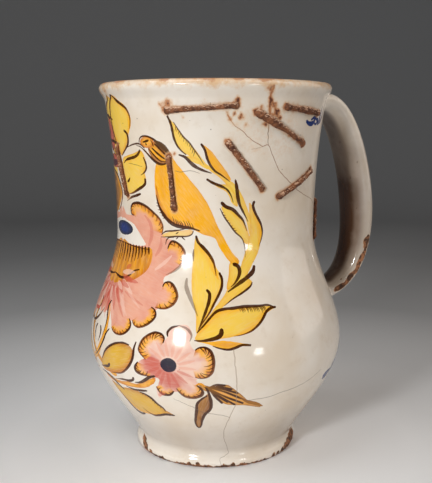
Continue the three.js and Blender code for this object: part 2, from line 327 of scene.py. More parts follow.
def curve_through(points, step, closed=False):
    """Even points along a smooth curve through the given ones."""
    count = len(points)
    spans = count if closed else count - 1
    curve = []
    for i in range(spans):
        if closed:
            a, b, c, d = (points[(i + k) % count] for k in (-1, 0, 1, 2))
        else:
            b, c = points[i], points[i + 1]
            a = points[i - 1] if i > 0 else (2 * b[0] - c[0], 2 * b[1] - c[1])
            d = points[i + 2] if i + 2 < count else (2 * c[0] - b[0], 2 * c[1] - b[1])
        steps = max(1, round(math.dist(b, c) / step))
        for k in range(steps):
            t = k / steps
            curve.append(
                tuple(
                    0.5
                    * (
                        2 * q
                        + (r - p) * t
                        + (2 * p - 5 * q + 4 * r - s) * t * t
                        + (3 * q - p - 3 * r + s) * t**3
                    )
                    for p, q, r, s in zip(a, b, c, d)
                )
            )
    if not closed:
        curve.append(tuple(points[-1]))
    return curve


def distance_to(line, point):
    """The distance from a point to a polyline."""
    best = 1e9
    px, py = point
    for (ax, ay), (bx, by) in zip(line, line[1:]):
        dx, dy = bx - ax, by - ay
        size = dx * dx + dy * dy or 1e-9
        t = min(max(((px - ax) * dx + (py - ay) * dy) / size, 0.0), 1.0)
        best = min(best, math.hypot(px - ax - t * dx, py - ay - t * dy))
    return best


def direction(line, index):
    """The unit direction of a polyline at one of its points."""
    ax, ay = line[max(index - 1, 0)]
    bx, by = line[min(index + 1, len(line) - 1)]
    size = math.hypot(bx - ax, by - ay) or 1.0
    return (bx - ax) / size, (by - ay) / size


def anticlockwise(loop):
    return sum(a[0] * b[1] - b[0] * a[1] for a, b in zip(loop, loop[1:] + loop[:1])) > 0


def wobble(x, y, scale, seed):
    return noise.noise(Vector((x * scale, y * scale, seed)))


class Painting:
    """Brush strokes on the chart, each a closed loop with a colour, laid in order."""

    def __init__(self, colours):
        self.c = colours
        self.strokes = []
        self.mirror_turn = None

    def to_chart(self, places):
        if self.mirror_turn is not None:
            places = [(2 * self.mirror_turn - turn, height) for turn, height in places]
        return [chart(place) for place in places]

    def add(self, loop, paint, ink, grain=None):
        loop = loop if anticlockwise(loop) else loop[::-1]
        self.strokes.append({"loop": loop, "paint": paint, "ink": ink, "grain": grain})

    def wash(self, places, light, deep, pooling=2.0, amount=0.8, along=None, strength=0.98, depth=None):
        """A filled shape of thin colour, deeper along its edge or by a depth of its own."""
        loop = curve_through(self.to_chart(places), 1.1, closed=True)
        loop = [(x + 0.16 * wobble(x, y, 0.7, 3.1), y + 0.16 * wobble(x, y, 0.7, 8.7)) for x, y in loop]
        edge = loop + loop[:1]
        light, deep = self.c[light], self.c[deep]
        if along is None:
            start, end = loop[0], loop[len(loop) // 2]
        else:
            start, end = self.to_chart(along)
        angle = math.atan2(end[1] - start[1], end[0] - start[0])
        cos, sin = math.cos(angle), math.sin(angle)

        def paint(point):
            if depth is None:
                share = amount * (1 - smooth(distance_to(edge, point), 0.0, pooling))
            else:
                share = depth(point)
            x, y = point
            share += 0.3 * wobble(x, y, 0.12, 5.5) + 0.12 * wobble(x, y, 0.5, 1.5)
            return mix(light, deep, min(max(share, 0.0), 1.0)) + (strength,)

        def grain(point):
            x, y = point[0] - start[0], point[1] - start[1]
            return (x * cos + y * sin, y * cos - x * sin)

        self.add(loop, paint, False, grain)

    def shade(self, places, width, pigment, side=1, strength=0.9):
        """A soft band of deeper colour on one side of a curve, fading away from it."""
        line = curve_through(self.to_chart(places), 1.1)
        side = -side if self.mirror_turn is not None else side
        inner, count = [], len(line) - 1
        for i, (x, y) in enumerate(line):
            dx, dy = direction(line, i)
            reach = width * (0.12 + 0.88 * math.sin(math.pi * i / count)) * side
            inner.append((x - dy * reach, y + dx * reach))
        colour_here = self.c[pigment]

        def paint(point):
            fade = 1 - smooth(distance_to(line, point), 0.1 * width, width)
            return colour_here + (strength * fade,)

        self.add(line + inner[::-1], paint, False)

    def fade(self, outer, inner, light, deep, strength=0.95):
        """Colour between two curves, deep along the outer one and gone at the inner one."""
        outer = curve_through(self.to_chart(outer), 1.1)
        inner = curve_through(self.to_chart(inner), 1.1)
        light, deep = self.c[light], self.c[deep]

        def paint(point):
            near, far = distance_to(outer, point), distance_to(inner, point)
            share = near / max(near + far, 1e-6) + 0.45 * wobble(point[0], point[1], 0.75, 6.6)
            return mix(deep, light, smooth(share, 0.0, 0.45)) + (strength * (1 - smooth(share, 0.3, 0.95)),)

        self.add(outer + inner[::-1], paint, False)

    def ink(self, places, width, head=0.5, tail=0.15, peak=0.4, pigment="brown", strength=1.0, thin=None):
        """A brush line: head and tail are shares of the full width, which it has at peak."""
        line = curve_through(self.to_chart(places), 0.9)
        self.brush(line, LINE_WEIGHT * width, head, tail, peak, pigment, strength, thin)

    def brush(self, line, width, head, tail, peak, pigment, strength, thin):
        count = len(line) - 1
        left, right = [], []
        for i, (x, y) in enumerate(line):
            t = i / count
            if t < peak:
                share = head + (1 - head) * math.sin(0.5 * math.pi * t / peak)
            else:
                share = tail + (1 - tail) * math.cos(0.5 * math.pi * (t - peak) / (1 - peak))
            half = 0.5 * width * share * (1 + 0.22 * wobble(x, y, 0.5, 2.2)) + 0.04
            dx, dy = direction(line, i)
            left.append((x - dy * half, y + dx * half))
            right.append((x + dy * half, y - dx * half))
        (sx, sy), (tx, ty) = line[0], line[1]
        size = math.hypot(tx - sx, ty - sy) or 1.0
        cap = 0.4 * width * head
        start_cap = (sx - (tx - sx) / size * cap, sy - (ty - sy) / size * cap)
        start, run = line[0], max(math.dist(line[0], line[-1]), 0.1)
        dense, dry = self.c[pigment], self.c[thin or pigment]

        def paint(point):
            t = min(math.dist(start, point) / run, 1.0)
            return mix(dense, dry, 0.8 * smooth(t, 0.35, 1.1)) + (strength * (1 - 0.06 * t),)

        self.add([start_cap] + right + left[::-1], paint, True)

    def hatch(self, places, count, size, width, lean, side, pigment="brown"):
        """Short brush lines to one side of a curve, leaning along it; the mirrored half has none."""
        if self.mirror_turn is not None:
            return
        line = curve_through(self.to_chart(places), 0.4)
        for k in range(count):
            share = HATCH_START + (HATCH_END - HATCH_START) * (k + 0.5) / count
            i = min(int(share * (len(line) - 1)), len(line) - 2)
            (ax, ay), (bx, by) = line[i], line[i + 1]
            run = math.hypot(bx - ax, by - ay) or 1.0
            dx, dy = (bx - ax) / run, (by - ay) / run
            nx, ny = -dy * side, dx * side
            reach = size * (0.8 + 0.5 * wobble(ax, ay, 1.3, 4.4))
            tip = (ax + reach * (nx + lean * dx), ay + reach * (ny + lean * dy))
            bow = 0.12 * reach
            middle = ((ax + tip[0]) / 2 + dx * bow, (ay + tip[1]) / 2 + dy * bow)
            stroke = curve_through([(ax, ay), middle, tip], 0.8)
            self.brush(stroke, LINE_WEIGHT * width, 0.8, 0.15, 0.3, pigment, 0.92, "brown_thin")

    def dot(self, place, radius, pigment, edge=None, stretch=1.0, strength=0.97, ink=True, count=18):
        """A round spot, deeper at its edge."""
        x0, y0 = self.to_chart([place])[0]
        loop = []
        for k in range(count):
            angle = 2 * math.pi * k / count
            reach = radius * (1 + 0.08 * wobble(math.cos(angle), math.sin(angle), 1.2, x0))
            loop.append((x0 + stretch * reach * math.cos(angle), y0 + reach * math.sin(angle)))
        inside, rim = self.c[pigment], self.c[edge or pigment]

        def paint(point):
            away = math.hypot((point[0] - x0) / stretch, point[1] - y0) / radius
            return mix(inside, rim, smooth(away, 0.3, 1.0)) + (strength,)

        self.add(loop, paint, ink)


def paint_leaves(p):
    """The leaves and sprays round the bird."""
    # The pointed leaf at the top, left of the bird
    p.wash([(12, 203), (17, 200), (22, 197.5), (25.6, 192), (25.2, 187), (22, 182), (19, 176), (13, 171),
            (9, 176), (4.4, 184), (3, 193), (6, 199.5)], "yellow", "yellow_deep", 2.8)
    p.shade([(12, 203), (17, 200), (22, 197), (25.3, 192), (24.8, 187), (22.5, 182)], 4.0, "orange", -1,
            0.75)
    p.ink([(11, 203.2), (14, 200.6), (19, 198), (23, 195.6), (25, 192), (25, 188.5), (23.6, 185)], 1.1, 0.5,
          0.2, 0.3, thin="brown_thin")
    p.ink([(18.5, 184.3), (21, 182.6), (21.6, 180), (20.7, 177), (17.5, 174), (13, 170.6)], 1.2, 0.7, 0.2,
          0.25)
    # The lobed leaf under the beak
    p.wash([(14, 169), (19, 171), (26, 172.6), (31, 174), (33.4, 170.5), (34.3, 166), (32.6, 162.6),
            (33.4, 158.5), (31, 154.5), (26, 152.8), (20, 150.6), (15, 152), (12, 160)], "yellow",
           "yellow_deep", 1.6, 0.6)
    p.ink([(15, 167), (18, 168.8), (22, 169.7), (26, 170.6), (28.6, 172), (30.4, 174.3)], 1.15, 0.3, 0.8,
          0.6)
    p.ink([(32.4, 170.4), (33.8, 167.5), (34, 165), (32.6, 162.8), (29.6, 161)], 0.9, 0.6, 0.1, 0.4)
    p.ink([(17.4, 157), (19, 157.9), (20, 159.3)], 1.1, 0.7, 0.4)
    p.ink([(32.6, 159.2), (32.6, 157), (30.8, 155.3), (27, 153.4), (22.5, 151.4), (18, 150.4)], 1.2, 0.8,
          0.1, 0.2, thin="brown_thin")
    p.ink([(28.6, 151.1), (25, 150), (20.5, 148.8), (15.5, 146.4)], 1.1, 0.6, 0.1, 0.25, thin="brown_thin")
    p.shade([(15, 168), (21, 170), (27, 171.5), (31, 174)], 3.2, "orange", -1, 0.5)
    # The hatched leaf at the top of the spray
    p.wash([(49, 191), (50.4, 185), (51.6, 179), (55, 174.5), (60, 171), (66, 166), (69, 165.4), (65, 171),
            (61, 176.5), (56.5, 181.5), (53, 186.5)], "yellow", "yellow_deep", 1.2, 0.35)
    p.ink([(48.8, 191.6), (50.3, 188), (51, 184), (51.6, 180.6), (53, 177), (55, 174.4), (57.6, 172.2)],
          1.0, 0.8, 0.3, 0.3)
    p.ink([(51.8, 188.6), (54, 185), (56.4, 181.4), (59.4, 178.3), (62, 174.4), (64.4, 170.8),
           (66.4, 167.3)], 0.55, 0.4, 0.1, 0.5, "grey")
    p.hatch([(52, 188), (54, 185), (56.4, 181.4), (59.4, 178.3), (63, 173)], 12, 2.6, 0.26, 0.8, -1, "grey")
    # The second and third leaves of the spray, and the stem between them
    p.wash([(57, 171.4), (62, 168), (66, 167.4), (70, 163.8), (75, 160), (80, 154), (84, 148), (88, 139),
            (90, 131), (92.6, 129), (92, 136), (89, 144), (85.6, 152), (81.6, 157.6), (76, 161.6),
            (70, 166), (63, 170.6)], "yellow", "yellow_deep", 1.4, 0.4)
    p.wash([(65.6, 177.4), (70, 174.2), (74, 168.8), (78, 163.2), (79.8, 159.4), (75, 161.4), (71, 165.5),
            (68.4, 170.6)], "orange", "yellow_deep", 2.0, 0.6)
    p.ink([(53.8, 172.2), (57, 171), (60, 168), (62.6, 166), (66, 164.4), (70.2, 163)], 1.35, 0.4, 0.15,
          0.4)
    p.ink([(65.2, 177.7), (67, 174.6), (68, 170.6), (69.6, 167), (72, 164), (75, 162.1), (79.2, 158.8)],
          1.05, 0.7, 0.2, 0.2)
    p.wash([(68, 159.6), (74, 157.6), (79, 156.8), (82, 152), (83.6, 146), (80.6, 147.6), (78, 153),
            (73, 156)], "yellow", "yellow_deep", 1.0, 0.5)
    p.ink([(67.8, 159.9), (71, 158), (75, 156.4), (78, 154.6), (80, 151.6), (81.2, 148)], 1.1, 0.8, 0.15,
          0.15)
    p.ink([(82.2, 159.4), (83, 155), (83.5, 151), (84.5, 147), (86.5, 143), (89.2, 138)], 1.5, 0.5, 0.1,
          0.2)
    # The two leaves low on the spray
    p.wash([(75.2, 146), (79, 145.4), (83, 142.5), (86.6, 138.6), (89, 133.5), (90.4, 127), (88, 126.4),
            (84, 131), (80, 136.6), (76.6, 141.6)], "yellow", "yellow_deep", 1.6, 0.5)
    p.shade([(75.6, 147), (80, 145), (84, 141.4), (86.6, 138), (88.6, 133)], 2.6, "orange", -1, 0.7)
    p.ink([(75.2, 148), (77.4, 145.9), (81, 144.4), (84, 141.4), (86.6, 138.4), (88.6, 133)], 1.4, 0.8, 0.1,
          0.2)
    p.ink([(74.4, 145), (76.4, 141), (79.4, 136.6), (82.4, 132.6), (86, 129.2), (87.4, 124.6),
           (87.6, 119.4)], 0.6, 0.5, 0.1, 0.4, "grey")
    p.hatch([(74.6, 144.6), (76.4, 141), (79.4, 136.6), (83, 132)], 8, 1.4, 0.25, 0.9, 1)
    p.wash([(89.6, 147.6), (92, 145), (94.2, 140.4), (97, 134), (96.6, 128), (94.4, 121), (91, 119),
            (89, 125), (90.4, 133), (90, 140)], "yellow", "yellow_deep", 1.6, 0.5)
    p.shade([(92, 147), (93.4, 142), (96, 137), (97, 132), (95.6, 125)], 3.6, "orange", -1, 0.85)
    p.ink([(92.4, 148.2), (91.8, 146), (93, 142.5), (95, 139), (96.6, 136), (97.4, 132), (96.8, 128.4),
           (95.4, 124.6)], 1.1, 0.9, 0.1, 0.1)
    # The foot of the spray, where the stems meet
    p.wash([(94.4, 122), (90.6, 115), (88, 110), (90, 106.4), (84, 101.6), (76, 96), (69, 87), (64.2, 82.6),
            (66.4, 87), (71, 94), (76, 101), (79, 107), (80, 112), (84, 113.6), (86.4, 119), (89, 124)],
           "yellow", "yellow_deep", 1.4, 0.4)
    p.wash([(79.4, 117), (83, 116), (84.2, 112.6), (83, 109), (80, 105), (77.4, 104), (78.4, 110)],
           "yellow", "yellow_deep", 1.2, 0.7)
    p.ink([(81.2, 116.3), (83.4, 115.2), (84.2, 112.6), (83.3, 109.6), (81.4, 106.8), (79.4, 105)], 1.5,
          0.8, 0.1, 0.2)
    p.ink([(92, 114.9), (91, 112.2), (88, 109.6), (84, 107), (80.6, 104.6), (77.8, 102.6)], 1.7, 0.6, 0.2,
          0.2)
    p.ink([(90, 106.8), (89, 105), (85, 102.2), (80, 99.2), (76, 96)], 0.75, 0.5, 0.15, 0.2)
    # The tall leaf under the bird's feet
    p.wash([(61.8, 130.4), (65, 126), (69.6, 121), (72.6, 114.5), (75.4, 109), (74.6, 103), (71.4, 96),
            (67, 88), (64.2, 82.6), (63.6, 91), (61.4, 100), (60.4, 108), (60.6, 119)], "yellow",
           "yellow_deep", 1.5, 0.35)
    p.shade([(62, 130), (66, 125), (69.6, 120.6), (72.4, 114), (74, 108.6)], 4.2, "orange", -1, 0.8)
    p.shade([(75.4, 109), (74.6, 103), (71.4, 96), (67, 88)], 2.4, "orange", -1, 0.7)
    p.ink([(62, 130.6), (63, 127.5), (66, 124.5), (69, 121), (71, 117.5), (72, 113.5), (72.4, 110.6)], 1.2,
          0.7, 0.15, 0.4, thin="brown_thin")
    p.ink([(74, 112), (75.2, 109), (75, 105), (73.4, 101), (71.4, 97), (69.4, 92.6), (66.6, 87.8),
           (64.4, 83)], 0.95, 0.9, 0.2, 0.1, thin="brown_thin")
    p.ink([(68, 103.6), (69.3, 102), (69.2, 98.5), (68, 94), (66.4, 89), (65, 85)], 1.2, 0.7, 0.15, 0.15)
    p.ink([(60.8, 123.6), (60.6, 120.5), (60.8, 117.6)], 0.8, 0.4, 0.3, 0.5, "grey", 0.8)
    p.ink([(58, 109), (57.9, 106), (58.6, 103.4), (60.4, 99.6), (62.4, 95.4), (64.4, 91)], 1.5, 0.4, 0.1,
          0.3, "grey", 0.6)
    # The broad leaf that points towards the handle, and the small one under it
    p.wash([(63.6, 80), (67, 86), (72, 93), (80, 94.6), (90, 95.2), (99.6, 94), (95.4, 91.5), (91.4, 86.6),
            (86.4, 82.8), (80, 81.3), (75, 80.4), (69, 79.2)], "yellow", "yellow_deep", 2.0, 0.5)
    p.shade([(64, 82), (67.6, 87.4), (72, 93), (80, 94.6), (88, 95)], 3.4, "orange", -1, 0.75)
    p.shade([(99, 94), (95, 91.4), (91, 86.4), (86, 82.8), (80, 81.3)], 3.6, "orange", -1, 0.85)
    p.ink([(64.4, 83), (67.4, 87), (70, 90.6), (72.6, 93.4), (76, 94.5), (80, 94.8), (85, 95.4), (92, 95.2),
           (96, 95.3), (99.6, 93.8)], 1.05, 0.3, 0.5, 0.5)
    p.ink([(100, 93.9), (97.4, 93.6), (95, 92), (93, 89), (90.4, 86), (87, 83.4), (83, 81.9), (79.6, 81.4)],
          0.95, 0.9, 0.1, 0.2, thin="brown_thin")
    p.hatch([(81, 94.9), (85, 95.3), (90, 95.2), (95.6, 95)], 16, 3.3, 0.32, 0.5, -1)
    p.ink([(74.6, 84.9), (74.4, 82.6), (73, 81), (70, 79.9), (66.4, 79.2), (63.4, 79.3)], 1.5, 0.7, 0.15,
          0.15)
    p.wash([(64, 79), (69, 78.8), (75, 79.4), (81, 78.4), (86.4, 76.8), (82, 76.4), (77, 75.3), (72, 76.6),
            (68, 78)], "yellow_deep", "orange", 1.4, 0.8)
    p.ink([(71, 76.8), (74, 75.6), (77.4, 75), (80.4, 75.9), (83, 77), (86.6, 76.6)], 0.95, 0.2, 0.8, 0.7)


def paint_bird(p):
    """The orange bird, its striped nape and its pale feet."""
    p.wash([(49, 171.6), (53, 167), (58, 161), (63, 155), (67.4, 148.6), (70.4, 142.6), (73, 136.4),
            (76, 130.6), (79.4, 124.2), (82, 120.6), (84.4, 117.6), (83, 115.6), (80.4, 116.4),
            (77.4, 119.8), (74, 125), (71.6, 129.6), (66, 131.4), (61, 133.6), (54, 135), (48, 137),
            (43.4, 140.8), (40.4, 146), (39.2, 153), (39.2, 161), (41, 168), (45, 168.4)], "orange",
           "orange_deep", 1.6, 0.25, [(45, 165), (78, 122)], 1.0)
    p.shade([(39.6, 156), (40.4, 147), (43.6, 141), (48, 137.2), (54, 135.2), (61, 134)], 3.4,
            "orange_deep", 1, 0.95)
    p.wash([(41.6, 166), (45, 167), (46, 158), (45.6, 148), (43.4, 147), (41.6, 156)], "yellow_deep",
           "orange", 2.0, 0.8, strength=0.55)
    p.ink([(39.8, 151), (40.8, 146.6), (43, 142.4), (46, 138.8), (50, 136.1), (55, 135), (59, 134.7),
           (64, 133.4)], 1.5, 0.2, 0.3, 0.5)
    p.hatch([(49, 136.4), (53, 135.3), (57, 134.9), (62, 134.1)], 9, 3.6, 0.34, -0.6, 1)
    p.hatch([(40.6, 148), (42.6, 143), (46.4, 138.8)], 6, 2.2, 0.4, -0.5, -1)
    # Head and nape
    p.wash([(36, 175.4), (40.4, 179), (44, 178), (48.6, 174), (50.2, 171.4), (47, 168), (43, 167.4),
            (39, 169.6)], "gold_deep", "brown_thin", 1.4, 0.8, [(38, 178), (49, 169)])
    p.wash([(37, 174.6), (40.6, 176.8), (44.6, 173.6), (48, 170.2), (45.4, 168.2), (41, 170)], "orange",
           "orange_deep", 1.2, 0.6, strength=0.85)
    p.dot((35.6, 178.4), 3.1, "orange", "orange_deep", 1.6, ink=False)
    p.ink([(30.3, 178.2), (30.8, 180), (32.6, 181.3), (35.4, 181.5), (38.6, 180.6), (41.6, 178.8),
           (45.4, 175.6), (49, 172)], 0.85, 0.4, 0.6, 0.7)
    p.ink([(41.4, 178.6), (45.2, 176.2), (48.8, 172.6)], 2.4, 0.5, 0.3, 0.5, "grey")
    p.ink([(40.4, 177.6), (43.6, 174.8), (46.8, 171.9), (49.4, 170.4)], 0.75, 0.6, 0.3, 0.4)
    p.ink([(38.6, 175.5), (42, 172.6), (45.6, 170.2), (48.6, 169.5)], 0.75, 0.6, 0.3, 0.4)
    p.ink([(36.6, 175), (40, 171.4), (43.4, 168.9), (46.6, 168.6)], 0.6, 0.5, 0.3, 0.5)
    p.ink([(33.4, 174.7), (37, 171), (41, 168), (44.4, 167.1), (48, 168.1)], 1.0, 0.3, 0.4, 0.5)
    p.ink([(39.6, 176.2), (39.2, 177.8), (38.2, 179.6)], 0.5, 0.4, 0.2, 0.4)
    p.ink([(33, 178.4), (35, 178.8), (37, 179.5)], 0.9, 0.5, 0.4, 0.5)
    p.ink([(34.8, 177.6), (35.4, 176.9)], 0.8, 0.8, 0.6, 0.5)
    p.ink([(20, 175.5), (24, 176.7), (28, 177.5), (31, 177.2), (33.8, 175.2)], 0.6, 0.3, 0.6, 0.6)
    p.ink([(28, 176.6), (31, 175.9), (33.8, 173.8), (36, 171.6)], 0.5, 0.2, 0.6, 0.7, thin="brown_thin")
    # Feet
    p.wash([(42.8, 130.2), (47, 132.2), (53, 133), (59, 134), (60.4, 132.4), (57.4, 130.5), (50, 130),
            (45, 129.4)], "yellow", "yellow_deep", 1.2, 0.6, strength=0.75)
    p.ink([(42.4, 130.4), (45, 132.3), (49, 132.8), (53.4, 133.5), (57.4, 134.6)], 0.6, 0.3, 0.3, 0.4)
    p.ink([(42, 129.2), (46, 129.5), (51, 130), (57, 130.3), (59.8, 131.5), (60.6, 133.4)], 0.55, 0.3, 0.6,
          0.6)
    for claw in ([(51, 131.4), (52.6, 132.4)], [(52.4, 129.9), (51, 128.5)], [(54.4, 129.7), (56.2, 128.3)]):
        p.ink(claw, 0.45, 0.6, 0.2, 0.4)


def petal(p, outline, middle, depth=0.55, line=0.85, *, hatch, size, side):
    """A petal's rim: orange that fades inwards from a brown outline, with fine hatching."""
    inner = [tuple(a + (b - a) * 0.95 * depth for a, b in zip(place, middle)) for place in outline]
    p.fade(outline, inner, "orange", "orange_deep")
    p.ink(outline, line, 0.4, 0.25, 0.45, thin="brown_thin")
    p.hatch(outline, hatch, 1.25 * size, 0.34, 0.45, side)


def paint_big_flower(p):
    """The big pink flower on the jug's front: one half of it, with its middle at turn 8."""
    centre = p.to_chart([(8, 106)])[0]

    def petal_depth(point):
        away = math.dist(point, centre)
        angle = math.atan2(point[1] - centre[1], point[0] - centre[0])
        rays = 0.32 * wobble(angle * 9, away * 0.04, 1.0, 6.1)
        return 0.62 - 0.55 * smooth(away, 5.0, 26.0) + rays

    p.wash([(8, 139.5), (14, 139), (20, 139.4), (20.4, 144), (26, 145.6), (33, 144), (39, 140), (43, 135),
            (43.4, 130.4), (46, 128.6), (50, 127.6), (54.6, 124.4), (56, 120), (54, 115), (49, 110.6),
            (46, 108.6), (46.4, 105.6), (50, 105.6), (53.6, 101), (53, 96.6), (49, 94), (44.8, 92.6),
            (44.4, 89), (39.6, 84), (35, 83.4), (32.4, 85.4), (31.4, 80), (26, 77.2), (21, 78.6),
            (18.6, 83), (14.4, 88), (8, 88)], "pink", "pink_deep", along=[(8, 106), (30, 100)],
           depth=petal_depth, strength=0.9)
    # White round the eye, then the cup
    p.wash([(8, 136), (16, 135.6), (21.4, 134.4), (25.6, 131), (29, 127.4), (31.6, 124.2), (26, 123),
            (16, 123.4), (8, 124)], "white", "white", strength=1.0)
    p.wash([(8, 123.6), (18, 123), (28, 122.6), (35.6, 122.6), (37, 118), (35.6, 112.4), (31, 107.6),
            (24, 104), (16, 102.4), (8, 102.6)], "yellow_deep", "gold_deep", along=[(8, 123), (10, 103)],
           depth=lambda q: 0.4 + 0.4 * math.sin(q[0] * 1.1))
    p.shade([(36.4, 120), (35.6, 112.4), (31, 107.6), (24, 104), (16, 102.6)], 3.0, "orange_deep", -1, 0.7)
    p.ink([(8, 106.2), (12, 105.3), (16, 104.9), (20, 105.5), (23, 107.3), (26, 109.8), (29.6, 110.9)],
          0.95, 0.4, 0.5, 0.4)
    heads = (9, 12.4, 15.4, 18.4, 21.2, 24, 26.4, 29, 31.4, 34)
    for k, turn in enumerate(heads):
        drop = 11.5 - 0.55 * abs(k - 4) - 0.6 * k
        p.ink([(turn, 122.9), (turn + 0.5, 119.5), (turn + 0.2, 122.7 - drop)], 1.05, 0.9, 0.25, 0.12,
              thin="brown_thin")
    p.ink([(8, 123.3), (14, 123), (22, 122.4), (34.4, 121.8)], 0.4, 0.6, 0.6, 0.5)
    # Streaks the brush left in the pink
    for k in range(8):
        angle = math.radians(-84 + 7.4 * k)
        lean = 0.16 * math.sin(2.3 * k)
        near = (8 + 15.5 * math.cos(angle) * 1.25, 106 + 11.5 * math.sin(angle))
        far = (8 + 31 * math.cos(angle + lean) * 1.1, 106 + 24 * math.sin(angle + lean))
        pigment = "pink_pale" if k % 3 else "pink_deep"
        p.ink([near, far], 1.5 + 0.5 * math.sin(1.7 * k), 0.3, 0.2, 0.4, pigment, 0.38)
    # Rays of deep pink from the cup
    for k in range(15):
        angle = math.radians(-172 + 13.2 * k)
        start, reach = 10 + 1.5 * math.sin(k * 2.3), 19 + 4 * math.sin(k * 1.7)
        near = (8 + start * math.cos(angle), 108 + start * math.sin(angle))
        far = (8 + reach * math.cos(angle + 0.07), 108 + reach * math.sin(angle + 0.07))
        pigment = "pink_pale" if k % 3 == 1 else "pink_deep"
        p.ink([near, far], 2.0, 0.5, 0.2, 0.4, pigment, 0.62)
    p.ink([(34, 124), (36, 130), (35, 136), (31, 140)], 1.8, 0.5, 0.3, 0.4, "pink_deep", 0.4)
    p.ink([(39, 119), (42, 124), (42, 129)], 1.6, 0.5, 0.3, 0.4, "pink_deep", 0.35)
    p.ink([(40, 112), (45, 116), (49, 120)], 1.4, 0.5, 0.3, 0.4, "pink_pale", 0.6)
    # Petals, from the top round to the bottom
    petal(p, [(22, 139.2), (19.8, 139.8), (19.2, 142.4), (20.6, 145), (24, 146), (28, 146), (33, 144.5),
              (38, 141.4), (41.6, 138.4), (43.4, 134.6), (42.8, 131)], (29, 134), hatch=11, size=2.6,
          side=-1, line=1.05)
    petal(p, [(46.4, 123.4), (47, 125.4), (48.8, 127.4), (52, 126.5), (54.6, 124.3), (56.2, 121.4),
              (55.8, 118.6), (53.6, 115.4)], (47, 118.6), 0.6, hatch=6, size=2.4, side=-1, line=0.95)
    p.ink([(45, 125.4), (45.4, 127.6), (47, 129.2), (50, 129.4)], 0.5, 0.3, 0.2, 0.5)
    p.ink([(56, 118.6), (54.4, 115.4), (50.6, 112), (46.6, 110)], 1.1, 0.5, 0.1, 0.4, "grey", 0.55)
    petal(p, [(46, 104.2), (46.8, 106), (49.4, 106.6), (52, 104.6), (53.9, 101), (53.9, 98.6), (52.6, 96),
              (50, 94), (47, 93.4), (44, 93.7)], (45.4, 99.6), 0.62, hatch=7, size=2.2, side=-1, line=1.0)
    petal(p, [(42, 93.5), (43.9, 92.4), (44.9, 90.4), (44.4, 88.2), (42, 85.4), (39, 83.4), (36.6, 82.8),
              (34.2, 83.8), (33, 85.6)], (38, 90), 0.62, hatch=8, size=1.9, side=-1)
    petal(p, [(31, 86), (32.3, 84.3), (32.5, 82), (31.4, 80), (29.4, 78), (26, 76.9), (22.4, 77.5),
              (20.2, 79.4)], (26, 86), 0.55, hatch=8, size=1.9, side=-1)


def paint_small_flower(p):
    """The small pink flower low on the belly: six petals round a dark blue eye."""
    centre = p.to_chart([(53, 66)])[0]

    def petal_depth(point):
        away = math.dist(point, centre)
        angle = math.atan2(point[1] - centre[1], point[0] - centre[0])
        lean = -0.75 if p.mirror_turn is None else 0.75
        low = smooth(math.sin(-angle) + lean * math.cos(angle), -0.2, 0.9)
        rays = 0.45 * wobble(angle * 5, away * 0.05, 1.0, 9.1)
        return 0.1 + 0.95 * low * (1 - smooth(away, 8.5, 17.0)) + rays

    p.wash([(52, 80.6), (52.4, 83.6), (55.6, 86), (60, 86.4), (62.4, 82.6), (61.6, 78.6), (63.6, 74.6),
            (67, 76), (70.4, 73.6), (71.4, 69), (70.6, 63), (67, 60.4), (64.4, 59), (66.8, 53),
            (64.6, 49.2), (59.6, 48.8), (56.4, 51.4), (53.6, 50.6), (49, 48.4), (46.6, 46), (46.4, 51),
            (48.6, 57.6), (44, 58.6), (39, 59), (37.4, 62), (39.6, 66), (42, 68), (39.2, 71), (39.6, 76),
            (43, 80.4), (48, 81.6), (50.6, 78.4)], "pink_pale", "pink_deep", along=[(53, 66), (66, 66)],
           depth=petal_depth, strength=0.9)
    for k in range(17):
        angle = math.radians(160 + 21 * k)
        near = (53 + 4.6 * math.cos(angle), 66 + 4.8 * math.sin(angle))
        far = (53 + 11.5 * math.cos(angle + 0.1), 66 + 12.6 * math.sin(angle + 0.1))
        p.ink([near, far], 1.1, 0.7, 0.2, 0.4, "pink_deep" if k < 9 else "pink", 0.45)
    petal(p, [(64, 74.6), (65.4, 75.8), (68, 76), (70.3, 74), (71.3, 70), (71.3, 66), (70.5, 63),
              (68.6, 60.8), (66, 60.1), (64, 60.7)], (62.4, 68), 0.6, hatch=11, size=3.2, side=-1, line=1.0)
    petal(p, [(64.4, 56.2), (66.3, 54), (66.8, 51.6), (65.4, 49.4), (62, 48.3), (59, 49), (57, 51),
              (55.8, 53.4)], (60.6, 57), 0.6, hatch=7, size=2.2, side=-1, line=1.15)
    petal(p, [(54.4, 51.4), (52.4, 49), (49.4, 48.6), (47.6, 50), (46.6, 53)], (51.6, 56), 0.65, hatch=4,
          size=2.0, side=-1, line=1.0)
    petal(p, [(50.2, 77), (50.5, 79.4), (49, 81.2), (46, 81.6), (43, 80), (40.5, 77.4), (39.2, 74),
              (38.9, 71.6), (40.4, 69.4), (42.6, 67.4)], (48, 72.6), 0.6, hatch=12, size=3.0, side=1)
    petal(p, [(38.6, 65.2), (37.2, 62.6), (37.5, 60), (40, 58.7), (44, 58.4)], (46, 63), 0.6, hatch=6,
          size=2.6, side=1, line=1.0)
    p.ink([(47, 47.4), (48.4, 49), (50.4, 50)], 1.6, 0.6, 0.3, 0.5, "pink_deep", 0.5)
    p.ink([(52, 80.4), (51.7, 82.4), (53.4, 84.8), (56.6, 86.1)], 0.9, 0.4, 0.2, 0.4)
    p.ink([(56.6, 86.1), (60, 84.8), (62.2, 81.8), (61.6, 78.8)], 0.9, 0.3, 0.2, 0.5, "grey", 0.7)
    p.dot((53, 66), 3.7, "blue_dark", "blue_dark", 1.02)


